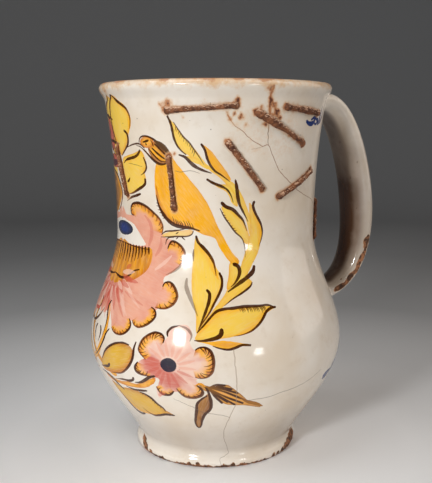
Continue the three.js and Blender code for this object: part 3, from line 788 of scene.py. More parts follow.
def paint_low_leaves(p):
    """The stems and leaves low on the left, and the two dark leaves under the small flower."""
    p.wash([(8, 64), (12, 70), (14.4, 76), (14.6, 84), (13, 91), (15.4, 88), (16.8, 82), (17, 76),
            (14.6, 69), (10, 61), (2, 56), (-6, 52.4), (-8, 55), (0, 58.6)], "orange", "orange_deep", 1.2,
           0.7)
    p.ink([(14, 92), (12.8, 89.4), (13.6, 86), (14.9, 82), (14.8, 78), (13.6, 73)], 0.9, 0.7, 0.15, 0.2,
          thin="brown_thin")
    p.ink([(10, 77.4), (11.2, 75.4), (11, 72), (9.4, 68.4)], 1.0, 0.7, 0.15, 0.2)
    p.ink([(18.8, 78), (16.6, 75), (15.4, 71.4), (13, 67), (9, 62.4), (3, 58.4)], 0.85, 0.6, 0.2, 0.3)
    # The round leaf
    p.wash([(12, 58), (16, 64), (20.6, 69), (26, 72.2), (33, 73), (36, 70), (35.4, 64.6), (32, 59.6),
            (27, 56), (20, 54), (13, 54)], "gold", "gold_deep", 2.4, 0.8)
    p.shade([(36.4, 72), (35.6, 65), (32, 59.6), (27, 56), (20, 54), (13, 54)], 4.0, "orange_deep", -1, 0.7)
    p.ink([(14, 60.4), (17, 65.4), (20, 68.6), (24, 71.4), (28, 73), (31, 73.4), (33.6, 73)], 0.95, 0.3,
          0.5, 0.5)
    p.ink([(37.2, 75.4), (36.4, 72), (36.2, 68.4), (35.4, 65), (33.4, 61.4), (30.4, 58), (27, 55.8),
           (20, 54)], 0.95, 0.5, 0.15, 0.3, thin="brown_thin")
    p.ink([(20.2, 59.2), (18.8, 57.5), (16, 56.4), (10.6, 55)], 1.2, 0.7, 0.15, 0.2, thin="brown_thin")
    # Short strokes between the round leaf and the long one
    p.wash([(14, 51.4), (24, 50.6), (31, 52), (36, 52), (41, 54.6), (46.4, 58.2), (46, 55), (41, 51),
            (35, 49.4), (27, 48.8), (18, 49)], "orange", "orange_deep", 1.4, 0.8)
    p.ink([(35.2, 55.6), (34.6, 54), (32, 52.8), (28, 52.4), (22, 51)], 1.0, 0.8, 0.1, 0.15,
          thin="brown_thin")
    p.ink([(46.6, 59), (44, 57.9), (41.4, 55.6), (38.4, 53.5), (35.4, 52.8)], 1.2, 0.6, 0.2, 0.35)
    p.ink([(41, 49), (37, 48.2), (33, 47.8), (28.4, 48.4)], 1.0, 0.6, 0.2, 0.3)
    p.ink([(10, 52.6), (15, 52), (19.6, 50.4), (22.6, 47.6), (25.8, 45.3)], 1.2, 0.2, 0.4, 0.6)
    # The long leaf
    p.wash([(17, 48), (24, 46.6), (31, 47.6), (37, 47), (42, 44.6), (45, 41), (47.8, 37.6), (51.2, 34.9),
            (46, 34), (41, 32.4), (36, 32), (31, 31.6), (27, 32.6), (23, 36), (20, 41)], "gold",
           "gold_deep", 2.4, 0.8)
    p.shade([(51, 34.9), (46, 34), (41, 32.4), (35, 31.8), (28, 32), (23.4, 36), (20, 42)], 3.4, "orange",
            -1, 0.7)
    p.ink([(36.4, 47), (39.4, 46.4), (42.2, 44.5), (44.2, 41.5), (46.8, 39), (47.4, 36.8)], 1.1, 0.3, 0.4,
          0.5)
    p.hatch([(36.4, 47), (39.4, 46.4), (42.2, 44.5), (44.2, 41.5), (46.8, 39)], 8, 1.8, 0.3, 0.4, -1)
    p.ink([(51.6, 34.8), (47, 34.6), (43, 33.1), (39, 32), (35.6, 33.3), (33, 35.6)], 1.1, 0.6, 0.15, 0.3,
          thin="brown_thin")
    p.ink([(32.2, 31.3), (29.6, 30.5), (26.6, 31.2), (24.4, 33.6), (22.4, 38), (20.6, 43)], 1.4, 0.5, 0.15,
          0.25, thin="brown_thin")


def paint_dark_leaves(p):
    p.wash([(65, 57.6), (70, 55.6), (76.4, 56.6), (79.4, 54.2), (82, 51.4), (84.8, 48), (86, 46.4),
            (90, 44.8), (93.6, 42), (93, 40.6), (88, 42.2), (84.4, 43.2), (80.4, 43.6), (76, 44.8),
            (73, 48.4), (70, 52.6), (67.4, 53)], "yellow_deep", "olive", 1.6, 0.9)
    ends = [(75, 45.2), (77.4, 45.8), (80.6, 44), (84.2, 44.6)]
    ends += [(83.4, 47.6), (81.4, 51.2), (78.8, 53.8), (76, 56.2)]
    for k, (turn, height) in enumerate(ends):
        bend = 0.9 if k > 3 else -0.7
        p.ink([(turn, height), (0.45 * turn + 37.9, 0.45 * height + 30.3 + bend),
               (68.6, 55 - 0.25 * k + 1)], 0.85, 0.9, 0.3, 0.2, thin="olive")
    p.ink([(94, 41.2), (90.4, 43.4), (86, 45.6), (82.4, 48.6)], 1.4, 0.3, 0.3, 0.5, "olive",
          thin="brown_thin")
    p.wash([(69, 51), (70.3, 46), (70, 41), (68.4, 38.6), (66, 34), (64.7, 29), (63.5, 27), (62, 28.4),
            (61.8, 32), (62.6, 37), (63.4, 42.6), (65, 46.6), (67.6, 49.6)], "olive", "gold_deep", 1.9, 0.6)
    p.ink([(66.4, 57), (68.6, 54), (69.6, 50), (70.2, 45.6), (69.9, 41.6), (68.6, 39.3), (67, 37.2),
           (65.5, 33), (64.6, 29), (63.5, 27.3)], 1.15, 0.4, 0.5, 0.5)
    p.shade([(69.6, 49), (70, 45), (69.4, 41), (67.6, 37), (66, 34), (65, 30)], 3.2, "brown_thin", -1, 0.8)
    p.ink([(68.6, 50), (66, 47.5), (64, 44.4), (63.4, 40), (62.5, 35), (61.9, 31), (62.5, 28),
           (63.5, 27.2)], 1.15, 0.4, 0.5, 0.5)
    p.ink([(64.2, 56.2), (66.2, 57), (68, 55.2)], 0.8, 0.4, 0.4, 0.5, "yellow_deep")


def paint_front(p):
    """What stands on the jug's very front: a bud between the two top leaves, and the eye."""
    p.wash([(-9, 178), (-8, 186), (-4, 192), (-1, 193), (2, 188), (4.4, 182), (4, 176), (-2, 173)],
           "pink_deep", "brown_thin", 2.6, 0.7)
    p.ink([(10.6, 203), (6, 199), (3.4, 193), (3.6, 186), (6, 180), (9.4, 175), (12, 171.6)], 1.3, 0.5, 0.3,
          0.4, thin="brown_thin")
    p.ink([(-8, 180), (-3, 178.6), (2, 178.4), (7, 177.4), (11.6, 177.2)], 1.2, 0.3, 0.5, 0.6)
    p.ink([(-8, 193), (-3, 192), (2, 191), (6, 190)], 1.6, 0.4, 0.2, 0.4, thin="brown_thin")
    p.wash([(-9, 168), (-6, 171), (3, 171.6), (9, 169), (10, 165), (2, 164), (-7, 164.6)], "pink_deep",
           "brown_thin", 1.6, 0.8)
    p.ink([(-9, 166.6), (-3, 166.4), (4, 167), (10, 168)], 2.6, 0.6, 0.4, 0.4, "blue_dark", 0.85)
    p.wash([(-9, 163), (0, 162), (6, 156), (9, 150), (5, 144), (0, 140), (-8, 139), (-16, 142), (-18, 152)],
           "olive", "yellow_deep", 4.0, 0.8)
    p.ink([(-4, 162.6), (3, 160), (8, 154.6), (9.6, 149), (6, 143), (1, 139.8)], 1.1, 0.5, 0.3, 0.4,
          thin="brown_thin")
    p.dot((9.6, 131.2), 4.0, "blue", "blue_dark", 3.0)
    p.ink([(-6, 84.6), (-1, 84.8), (3, 86)], 1.5, 0.3, 0.4, 0.5, "pink_deep")
    p.ink([(-5.4, 79.6), (-2, 78.2), (2, 79.4), (6, 82.6), (9, 87)], 1.2, 0.5, 0.2, 0.4, thin="brown_thin")


def paint_blue_marks(p):
    """Blue brush marks by the handle's roots."""
    p.ink([(124, 189.2), (126.4, 188), (129.4, 187.8), (132, 188.8), (133.6, 190.6)], 1.9, 0.6, 0.6, 0.4,
          "blue")
    p.ink([(128.6, 189.8), (131.6, 191), (134.6, 190.8), (136.6, 189), (135.4, 187.6), (132.6, 188)], 1.3,
          0.5, 0.6, 0.4, "blue")
    p.ink([(136.8, 190.6), (138.2, 188), (139.6, 189), (141.2, 193), (142.6, 197.6)], 1.7, 0.7, 0.3, 0.4,
          "blue")
    p.ink([(139, 188.2), (142, 189), (145.6, 193), (147, 197)], 1.5, 0.6, 0.3, 0.4, "blue")
    p.ink([(130.4, 49.4), (133.6, 50.6), (138, 51)], 2.0, 0.5, 0.5, 0.4, "blue")
    p.ink([(131.2, 47.8), (134.6, 48), (138.4, 49.4)], 1.7, 0.5, 0.4, 0.4, "blue")
    p.ink([(137, 49.6), (141.4, 54), (145, 59.6), (148.4, 66), (151, 70)], 1.9, 0.7, 0.2, 0.3, "blue")
    p.ink([(139.6, 50), (146, 54), (152, 61)], 1.6, 0.6, 0.2, 0.3, "blue")


CRACKS = {
    "rim_break": [(98.2, 206.6), (98, 200), (98.6, 193), (98.4, 187), (98.6, 181), (99, 177)],
    "long_slant": [(77.6, 192.4), (80.4, 187.6), (84, 185), (88, 181.2), (92, 178.4), (96, 176.5), (99, 177),
                   (101.4, 172.6), (104, 168), (107, 163.6), (111, 160), (114.6, 157.3), (118, 155.2),
                   (122, 152.6), (128, 150), (133, 148.4), (141, 146), (149, 141)],
    "short_side": [(90, 174.8), (93, 175.4), (96.4, 176.5)],
    "beside_bird": [(51.6, 164), (55, 163.6), (60, 164.2), (64, 162.8)],
    "under_beak": [(20, 167), (25, 166.6), (31, 165.6)],
    "belly_down": [(79.4, 75), (80, 66), (80.6, 58), (80.9, 50), (81, 44), (80, 40), (79, 35), (77.6, 30),
                   (76.8, 25), (77, 20), (78.6, 15), (80.6, 10), (80.9, 8), (78, 6.4), (75.2, 5.2), (76, 1)],
    "belly_left": [(79, 35), (76, 36.6), (71, 37.8), (66, 39), (62, 42), (58, 44.4), (53.4, 46.8)],
    "belly_right": [(85.6, 46.2), (92, 46.5), (97, 47.1), (101, 48.2), (106, 49), (112, 50.2), (118, 52),
                    (125, 55.4)],
}
# The width of a crack's dark line, and its colours from one end to the other
CRACK_LOOKS = {
    "rim_break": (0.6, "crack_rusty", "crack"),
    "long_slant": (0.36, "crack_rusty", "crack_pale"),
    "short_side": (0.24, "crack_pale", "crack_pale"),
    "belly_down": (0.4, "crack_pale", "crack"),
}


def paint_cracks(p):
    for name, places in CRACKS.items():
        line = curve_through(p.to_chart(places), 1.0)
        line = [(x + 0.35 * wobble(x, y, 0.5, 7.7), y + 0.35 * wobble(x, y, 0.5, 1.9)) for x, y in line]
        width, first, last = CRACK_LOOKS.get(name, (0.24, "crack", "crack"))
        p.brush(line, width, 0.8, 0.5, 0.5, first, 0.62 if first == "crack_pale" else 0.8, last)


SPECK_COUNT = 150
# Degrees to each side of the handle that are kept free of specks
HANDLE_CLEARANCE = 20


def paint_specks(p):
    """Pinholes and grit in the glaze."""
    for k in range(SPECK_COUNT):
        turn = 360 * (0.5 + 0.5 * math.sin(k * 12.9898)) - 120
        height = 8 + 190 * (0.5 + 0.5 * math.sin(k * 78.233 + 2))
        if abs(turn - 180) < HANDLE_CLEARANCE:
            continue
        size = 0.16 + 0.2 * (0.5 + 0.5 * math.sin(k * 3.7)) ** 3
        p.dot((turn, height), size, "crack", "crack", strength=0.7, count=6)


# What is painted twice: first as a mirror image on the hidden side, then on the side that is seen
REPEATED_PARTS = (paint_big_flower, paint_leaves, paint_bird, paint_small_flower, paint_low_leaves)


def whole_painting(colours):
    """The strokes in their order: the repeated half on the hidden side is laid first."""
    p = Painting(colours)
    for mirror_turn in (MIRROR_TURN, None):
        p.mirror_turn = mirror_turn
        for paint_part in REPEATED_PARTS:
            paint_part(p)
    paint_dark_leaves(p)
    paint_front(p)
    paint_blue_marks(p)
    paint_cracks(p)
    paint_specks(p)
    return p


# How far the strap's middle line is carried on past each of its ends, in millimetres
HANDLE_LEAD = 8.0
# The exponent of the strap's rounded cross-section: 2 is an ellipse, more is squarer
STRAP_SQUARENESS = 2.6
# How far along the strap, in millimetres, its skin is looked for leaving the wall
CROSSING_REACH = 45.0


class HandleForm:
    """The strap: its middle line, and a point on its skin at a share of its length and an angle."""

    def __init__(self, sizes, body):
        self.s = sizes
        self.body = body
        top = body.s["height"] - sizes["top_drop"]
        self.start = (body.radius(top) - sizes["root_depth"], top)
        self.end = (body.radius(sizes["root_height"]) - sizes["root_depth"], sizes["root_height"])
        reach = (sizes["reach"], sizes["reach_height"])
        upper = (
            self.start,
            (self.start[0] + sizes["shoulder"], top + sizes["shoulder_rise"]),
            (reach[0], reach[1] + sizes["upper_pull"]),
            reach,
        )
        lower = (
            reach,
            (reach[0], reach[1] - sizes["lower_pull"]),
            (self.end[0] + sizes["tail"], self.end[1] + sizes["tail_rise"]),
            self.end,
        )
        points = []
        for part in (upper, lower):
            for k in range(200):
                t = k / 200
                weights = ((1 - t) ** 3, 3 * t * (1 - t) ** 2, 3 * t * t * (1 - t), t**3)
                points.append(tuple(sum(w * q[i] for w, q in zip(weights, part)) for i in (0, 1)))
        points.append(self.end)
        for index, near in ((0, 1), (-1, -2)):
            a, b = points[index], points[near]
            run = math.dist(a, b)
            tip = (a[0] + (a[0] - b[0]) / run * HANDLE_LEAD, a[1] + (a[1] - b[1]) / run * HANDLE_LEAD)
            points = [tip] + points if index == 0 else points + [tip]
        self.points = points
        self.lengths = [0.0]
        for a, b in zip(points, points[1:]):
            self.lengths.append(self.lengths[-1] + math.dist(a, b))
        self.total = self.lengths[-1]

    def at(self, distance):
        distance = min(max(distance, 0.0), self.total)
        low, high = 0, len(self.lengths) - 1
        while high - low > 1:
            middle = (low + high) // 2
            if self.lengths[middle] <= distance:
                low = middle
            else:
                high = middle
        span = self.lengths[high] - self.lengths[low] or 1.0
        t = (distance - self.lengths[low]) / span
        a, b = self.points[low], self.points[high]
        return (a[0] + (b[0] - a[0]) * t, a[1] + (b[1] - a[1]) * t)

    def size_at(self, distance, top, middle, tail):
        t = distance / self.total
        if t < 0.5:
            return top + (middle - top) * smooth(2 * t)
        return middle + (tail - middle) * smooth(2 * t - 1)

    def skin(self, distance, angle):
        s = self.s
        ahead, behind = self.at(distance + 0.8), self.at(distance - 0.8)
        run = math.dist(ahead, behind) or 1.0
        dx, dz = (ahead[0] - behind[0]) / run, (ahead[1] - behind[1]) / run
        width = self.size_at(distance, s["top_width"], s["middle_width"], s["tail_width"])
        thick = self.size_at(distance, s["top_thickness"], s["middle_thickness"], s["tail_thickness"])
        cos, sin = math.cos(angle), math.sin(angle)
        across = math.copysign(abs(cos) ** (2 / STRAP_SQUARENESS), cos) * width / 2
        through = math.copysign(abs(sin) ** (2 / STRAP_SQUARENESS), sin) * thick / 2
        x, z = self.at(distance)
        return Vector((x - dz * through, across, z + dx * through))

    def crossing(self, angle, from_top):
        """The distance along the strap at which its skin leaves the wall."""
        low, high = (0.0, CROSSING_REACH) if from_top else (self.total, self.total - CROSSING_REACH)
        for _ in range(30):
            middle = (low + high) / 2
            q = self.skin(middle, angle)
            if math.hypot(q.x, q.y) < self.body.radius(min(q.z, self.body.lip_middle)):
                low = middle
            else:
                high = middle
        return (low + high) / 2


# How finely the mesh is laid: points round the strap, between its rings and in a fillet, and the
# wall's columns and rows; a grid point nearer to a stroke's outline than CLEARANCE is left out
HANDLE_SIDES = 96
HANDLE_ROW = 0.95
FILLET_STEPS = 5
COLUMNS = 216
ROW_STEP = 1.8
CLEARANCE = 0.45
# How far strokes stay from the seam and from the wall's lower and upper edges
SEAM_MARGIN, EDGE_MARGIN = 0.1, 0.15


class JugMesh:
    """Gathers the jug's vertices, faces and the paint at every corner of a face."""

    def __init__(self, body, handle):
        self.body = body
        self.handle = handle
        self.points = []
        self.normals = []
        self.charts = []
        self.faces = []
        self.paint = []

    def vertex(self, point, normal=None, chart_point=None):
        self.points.append(point)
        self.normals.append(normal)
        self.charts.append(chart_point)
        return len(self.points) - 1

    def face(self, corners, paint=None):
        self.faces.append(tuple(corners))
        self.paint.append(paint)

    def root_loop(self, from_top):
        """Where the fillet of a handle root meets the wall, the crossing and the strap beyond."""
        fillet = self.handle.s["fillet"]
        loop, crossings, beyond = [], [], []
        for k in range(HANDLE_SIDES):
            angle = 2 * math.pi * k / HANDLE_SIDES
            distance = self.handle.crossing(angle, from_top)
            crossing = self.handle.skin(distance, angle)
            turn = math.atan2(crossing.y, crossing.x) + math.pi
            if turn < math.radians(90):
                turn += 2 * math.pi
            loop.append((turn * CHART_RADIUS, crossing.z))
            crossings.append(crossing)
            beyond.append(distance + (fillet if from_top else -fillet))
        middle_x = sum(q[0] for q in loop) / len(loop)
        middle_y = sum(q[1] for q in loop) / len(loop)
        spread = []
        for x, y in loop:
            away = math.hypot(x - middle_x, y - middle_y)
            new_y = y + (y - middle_y) / away * fillet
            limit = self.body.lip_middle - 1.2
            if new_y > limit - 2:
                new_y = limit - 2 * math.exp(-(new_y - limit + 2) / 2)
            spread.append((x + (x - middle_x) / away * fillet, new_y))
        return spread, crossings, beyond

    def lay_wall(self, strokes):
        """The wall as triangles between the strokes' outlines, the handle's roots and a grid."""
        body = self.body
        x0 = math.radians(SEAM_TURN) * CHART_RADIUS
        x1 = x0 + 2 * math.pi * CHART_RADIUS
        top = body.lip_middle
        columns = [x0 + (x1 - x0) * i / COLUMNS for i in range(COLUMNS + 1)]
        row_count = round(top / ROW_STEP)
        rows = [top * j / row_count for j in range(row_count + 1)]
        points = [(x, 0.0) for x in columns]
        points += [(x1, y) for y in rows[1:]]
        points += [(x, top) for x in reversed(columns[:-1])]
        points += [(x0, y) for y in reversed(rows[1:-1])]
        faces = [list(range(len(points)))]
        roots = [self.root_loop(True), self.root_loop(False)]
        loops = [root[0] for root in roots] + [stroke["loop"] for stroke in strokes]
        near = {}
        for loop in loops:
            start = len(points)
            loop = loop if anticlockwise(loop) else loop[::-1]
            for x, y in loop:
                x = min(max(x, x0 + SEAM_MARGIN), x1 - SEAM_MARGIN)
                points.append((x, min(max(y, EDGE_MARGIN), top - EDGE_MARGIN)))
            faces.append(list(range(start, len(points))))
            for x, y in loop:
                near.setdefault((int(x // 1), int(y // 1)), []).append((x, y))
        for j, y in enumerate(rows[1:-1], 1):
            shift = 0.5 if j % 2 else 0.0
            for i in range(1, COLUMNS + 1):
                x = x0 + (x1 - x0) * (i - shift) / COLUMNS
                if x > x1 - 0.5:
                    continue
                if not crowded(near, x, y):
                    points.append((x, y))
        out, _, triangles, origins, _, covers = delaunay_2d_cdt(
            [Vector(q) for q in points], [], faces, 1, 1e-5, True
        )
        index_of = {}
        places = []
        seam = {}
        for k, q in enumerate(out):
            x, y = q
            for source in origins[k]:
                index_of[source] = k
            if abs(x - x1) < 1e-4:
                places.append(None)
                continue
            number = self.vertex(body.place(x, y), body.normal(x, y), (x, y))
            places.append(number)
            if abs(x - x0) < 1e-4:
                seam[round(y, 3)] = number
        for k, q in enumerate(out):
            if places[k] is None:
                places[k] = seam[round(q[1], 3)]
        self.lay_wall_faces(strokes, out, triangles, covers, places)
        bottom = [places[index_of[i]] for i in range(COLUMNS)]
        first_top = COLUMNS + 1 + len(rows) - 2
        ring = [places[index_of[first_top + i]] for i in range(COLUMNS + 1)]
        ring = ring[::-1][:COLUMNS]
        start = len(columns) + len(rows) - 1 + COLUMNS + len(rows) - 2
        root_rings = []
        for spread, crossings, beyond in roots:
            ids = [places[index_of[start + i]] for i in range(HANDLE_SIDES)]
            root_rings.append((ids if anticlockwise(spread) else ids[::-1], crossings, beyond))
            start += HANDLE_SIDES
        return bottom, ring, root_rings

    def lay_wall_faces(self, strokes, out, triangles, covers, places):
        """The wall's faces outside the handle's roots, with the paint at each corner."""
        mixed = {}
        spots = numpy.array([tuple(q) for q in out])
        laid_over = strokes_over(strokes, spots[numpy.array(triangles)].mean(axis=1))
        for number, (triangle, cover) in enumerate(zip(triangles, covers)):
            if 1 in cover or 2 in cover:
                continue
            laid = tuple(laid_over.get(number, ()))
            corners = []
            for k in triangle:
                key = (k, laid)
                if laid and key not in mixed:
                    mixed[key] = lay_over([strokes[c] for c in laid], tuple(out[k]))
                corners.append(mixed.get(key))
            self.face([places[k] for k in triangle], corners if laid else None)

    def bridge(self, low, high):
        """Faces between two rings, their fronts to the right of the way from low to high."""
        count = len(low)
        for i in range(count):
            j = (i + 1) % count
            self.face((low[i], low[j], high[j], high[i]))

    def turned_ring(self, radius, height):
        ring = []
        for i in range(COLUMNS):
            angle = math.radians(SEAM_TURN) + 2 * math.pi * i / COLUMNS + math.pi
            ring.append(self.vertex(Vector((radius * math.cos(angle), radius * math.sin(angle), height))))
        return ring

    def lay_hidden_sides(self, bottom, top):
        ring = top
        rows = self.body.inside_rows()
        for radius, height in rows:
            new = self.turned_ring(radius, height)
            self.bridge(ring, new)
            ring = new
        middle = self.vertex(Vector((0, 0, rows[-1][1])))
        for i in range(COLUMNS):
            self.face((ring[i], ring[(i + 1) % COLUMNS], middle))
        ring = bottom
        for radius, height in self.body.underside_rows():
            new = self.turned_ring(radius, height)
            self.bridge(new, ring)
            ring = new
        middle = self.vertex(Vector((0, 0, 0)))
        for i in range(COLUMNS):
            self.face((ring[(i + 1) % COLUMNS], ring[i], middle))

    def lay_handle(self, top_root, lower_root):
        top_ids, top_crossings, top_beyond = top_root
        low_ids, low_crossings, low_beyond = lower_root
        rings = [top_ids]

        def fillet_ring(ids, crossings, beyond, t):
            ring = []
            for k in range(HANDLE_SIDES):
                wall = self.points[ids[k]]
                strap = self.handle.skin(beyond[k], 2 * math.pi * k / HANDLE_SIDES)
                spot = wall * (1 - t) ** 2 + crossings[k] * 2 * t * (1 - t) + strap * t * t
                ring.append(self.vertex(spot))
            return ring

        for step in range(1, FILLET_STEPS + 1):
            rings.append(fillet_ring(top_ids, top_crossings, top_beyond, step / FILLET_STEPS))
        run = min(low_beyond) - max(top_beyond)
        count = round(run / HANDLE_ROW)
        for step in range(1, count):
            t = step / count
            ring = []
            for k in range(HANDLE_SIDES):
                distance = top_beyond[k] + (low_beyond[k] - top_beyond[k]) * t
                ring.append(self.vertex(self.handle.skin(distance, 2 * math.pi * k / HANDLE_SIDES)))
            rings.append(ring)
        for step in range(FILLET_STEPS, 0, -1):
            rings.append(fillet_ring(low_ids, low_crossings, low_beyond, step / FILLET_STEPS))
        rings.append(low_ids)
        self.handle_rings = rings
        for a, b in zip(rings, rings[1:]):
            self.bridge(a, b)


def crowded(near, x, y):
    """Whether a stroke's outline runs so near a grid point that it would only make slivers."""
    for dx in (-1, 0, 1):
        for dy in (-1, 0, 1):
            for qx, qy in near.get((int(x // 1) + dx, int(y // 1) + dy), ()):
                if math.hypot(qx - x, qy - y) < CLEARANCE:
                    return True
    return False


def strokes_over(strokes, middles):
    """For each triangle, by its middle, the strokes whose loops go round it, in order."""
    found = {}
    xs, ys = middles[:, 0], middles[:, 1]
    for number, stroke in enumerate(strokes):
        loop = numpy.array(stroke["loop"])
        low, high = loop.min(axis=0), loop.max(axis=0)
        near = numpy.nonzero((xs > low[0]) & (xs < high[0]) & (ys > low[1]) & (ys < high[1]))[0]
        px, py = xs[near, None], ys[near, None]
        (ax, ay), (bx, by) = loop.T, numpy.roll(loop, -1, axis=0).T
        left = (bx - ax) * (py - ay) - (px - ax) * (by - ay)
        upward = (ay <= py) & (by > py) & (left > 0)
        downward = (ay > py) & (by <= py) & (left < 0)
        turns = upward.sum(axis=1) - downward.sum(axis=1)
        for triangle in near[turns != 0]:
            found.setdefault(int(triangle), []).append(number)
    return found


def lay_over(strokes, point):
    """The wash and the ink at a chart point, each as colour and cover, and the wash's grain."""
    layers = {False: (0.0, 0.0, 0.0, 0.0), True: (0.0, 0.0, 0.0, 0.0)}
    grain = (point[0], point[1])
    for stroke in strokes:
        red, green, blue, cover = stroke["paint"](point)
        old = layers[stroke["ink"]]
        total = cover + old[3] * (1 - cover)
        share = cover / total if total > 0 else 0.0
        layers[stroke["ink"]] = mix(old[:3], (red, green, blue), share) + (total,)
        if stroke["grain"]:
            grain = stroke["grain"](point)
    return layers[False], layers[True], grain


def spot_field(spots, turn, height):
    """How strongly the nearest of several (turn, height, reach, strength) spots is felt."""
    best = 0.0
    for spot_turn, spot_height, reach, strength in spots:
        dx = math.radians(turn - spot_turn) * CHART_RADIUS
        away = math.hypot(dx, height - spot_height)
        best = max(best, strength * (1 - smooth(away, 0.0, reach)))
    return best


STAPLES = {
    "staple_rim_long": ((48.3, 194.5), (81.9, 196.8)),
    "staple_over_break": ((91.5, 193.6), (122.8, 177.2)),
    "staple_rim_short": ((107.4, 196.4), (135.2, 193.6)),
    "staple_neck_middle": ((77.9, 178.5), (96.6, 154.5)),
    "staple_neck_slant": ((106.6, 150.2), (134.8, 163.1)),
    "staple_by_handle": ((152.5, 145.3), (150.4, 123.1)),
    "staple_on_bird": ((48.3, 171.0), (50.4, 144.3)),
    "staple_on_leaf": ((9.0, 175.9), (16.6, 149.7)),
}
# Spots of rust, bare clay at the foot (partly painted shade on its right side) and wear at the rim: turn,
# height, reach and strength
RUST_SPOTS = (
    (49.4, 197.6, 6.5, 0.95), (45.6, 197.4, 4.0, 0.9), (47.6, 194.6, 5.0, 1.0), (57.2, 191.0, 2.2, 0.8),
    (66.8, 199.8, 2.0, 0.7), (82.3, 199.8, 4.0, 1.05), (84.0, 191.5, 3.0, 1.3), (80.8, 192.4, 2.6, 1.05),
    (78.8, 190.0, 3.6, 0.95), (86.6, 187.0, 2.6, 0.85), (96.3, 187.6, 4.0, 1.0), (94.1, 195.6, 4.0, 0.85),
    (97.0, 204.6, 3.6, 1.0), (98.6, 200.0, 3.6, 1.0), (100.8, 197.4, 4.2, 1.05),
    (102.4, 193.6, 5.4, 1.15), (104.6, 190.6, 4.0, 0.95), (107.4, 196.4, 5.0, 0.95),
    (114.4, 197.8, 2.8, 0.75), (108.6, 152.4, 3.6, 0.9), (79.9, 182.7, 2.2, 0.65),
    (51.4, 172.6, 3.0, 0.95), (88.0, 166.0, 3.4, 0.6), (80.6, 168.0, 2.6, 0.6), (88.4, 152.8, 1.8, 0.6),
    (122.4, 180.0, 3.4, 0.9),
)
# Bare clay at the foot's edge; the broad, strong spots from turn 117 to 153 also lay painted shade on the
# foot's right side
FOOT_CLAY_AND_SHADE = (
    (7, 7.0, 4.6, 0.9), (10, 4.4, 5.4, 1.1), (14, 2.2, 5.4, 1.1), (20, 0.8, 5.0, 1.1),
    (27, 0.4, 3.0, 0.9), (33, 1.4, 3.0, 0.85), (45, 0.4, 3.0, 0.9), (54, 0.8, 3.8, 1.0),
    (60, 1.4, 3.8, 1.05), (68, 0.6, 3.0, 0.9), (78, 0.6, 3.6, 1.1), (84, 0.8, 4.2, 1.15),
    (90, 0.6, 3.6, 1.0), (98, 0.4, 3.0, 0.9), (108, 0.6, 3.4, 0.9), (117, 1.0, 4.4, 1.0),
    (122, 0.8, 4.4, 1.1), (127, 1.4, 5.0, 1.15), (132, 2.0, 5.6, 1.2), (137, 2.8, 6.4, 1.25),
    (142, 3.8, 7.0, 1.3), (147, 4.6, 7.4, 1.3), (153, 4.0, 7.4, 1.2), (205, 0.6, 5.0, 0.9),
    (238, 0.4, 6.0, 1.0), (-32, 0.4, 5.0, 0.9), (-78, 0.8, 6.0, 0.9), (-104, 0.4, 4.0, 0.9),
)
RIM_SPOTS = (
    (-4, 205, 8.0, 0.95), (6, 206, 9.0, 0.9), (18, 207.5, 7.0, 0.7), (60, 208.4, 9.0, 0.7),
    (72, 208.6, 8.0, 0.8), (96, 206, 6.0, 0.95), (110, 208, 6.0, 0.7), (124, 207.4, 6.0, 0.75),
    (-70, 208, 10.0, 0.8), (-20, 208, 7.0, 0.7), (204, 208, 9.0, 0.8), (226, 208, 7.0, 0.7),
)


# Where a staple is thick with rust: share of its length, reach and how much thicker it is
CRUSTS = {
    "staple_rim_long": ((0.1, 0.3, 0.25), (0.95, 0.1, 0.3)),
    "staple_over_break": ((0.3, 0.34, 0.75), (0.95, 0.12, 0.5)),
    "staple_rim_short": ((0.55, 0.5, 0.6),),
    "staple_neck_middle": ((0.2, 0.25, 0.35), (0.6, 0.3, 0.35)),
    "staple_neck_slant": ((0.5, 0.5, 0.3),),
    "staple_on_bird": ((0.9, 0.2, 0.3),),
    "staple_on_leaf": ((0.5, 0.5, 0.3),),
}


def wear_of(turn, height, on_outside):
    """Rust stain and bare clay at a place on the thrown body, each from 0 to about 1; the clay on the foot's
    right side is partly painted shade.
    """
    if not on_outside:
        return 0.0, 0.0
    rust = spot_field(RUST_SPOTS, turn, height)
    place = chart((turn, height))
    if height > 110:
        for start, end in STAPLES.values():
            near = distance_to([chart(start), chart(end)], place)
            rust = max(rust, 0.84 * (1 - smooth(near, 0.8, 3.8)))
            for tip in (start, end):
                rust = max(rust, 1 - smooth(math.dist(chart(tip), place), 0.8, 4.6))
        for name, reach in (("rim_break", 3.0), ("long_slant", 1.7)):
            near = distance_to([chart(q) for q in CRACKS[name]], place)
            rust = max(rust, 0.86 * (1 - smooth(near, 0.2, reach)) * smooth(height, 172, 196))
        # The mended side is stained all over, more so near the rim
        middle = math.hypot((turn - 100) / 34, (height - 184) / 26)
        rust = max(rust, 0.42 * (1 - smooth(middle, 0.4, 1.15)))
    clay = spot_field(FOOT_CLAY_AND_SHADE, turn, height) if height < 16 else 0.0
    return rust, clay


def build_jug_mesh(scene):
    body = BodyForm(sizes_in_mm(scene.jug_body))
    handle = HandleForm(sizes_in_mm(scene.jug_handle), body)
    colours = {key: tuple(getattr(scene.jug_paint, key)) for key in scene.jug_paint.__annotations__}
    colours["white"] = tuple(scene.jug_glaze.white)
    painting = whole_painting(colours)
    jug = JugMesh(body, handle)
    bottom, top, roots = jug.lay_wall(painting.strokes)
    jug.lay_hidden_sides(bottom, top)
    jug.lay_handle(*roots)
    return jug


# Where the handle is worn: share of its length, degrees round the strap, reach and strength
HANDLE_CHIPS = [
    (0.115, 100, 3.6, 1.15),
    (0.262, 112, 5.0, 0.62),
    (0.28, 128, 5.0, 0.6),
    (0.90, 210, 2.4, 0.9),
    (0.52, 20, 5.0, 0.8),
    (0.80, 60, 7.0, 0.9),
    (0.30, 90, 5.0, 0.5),
]
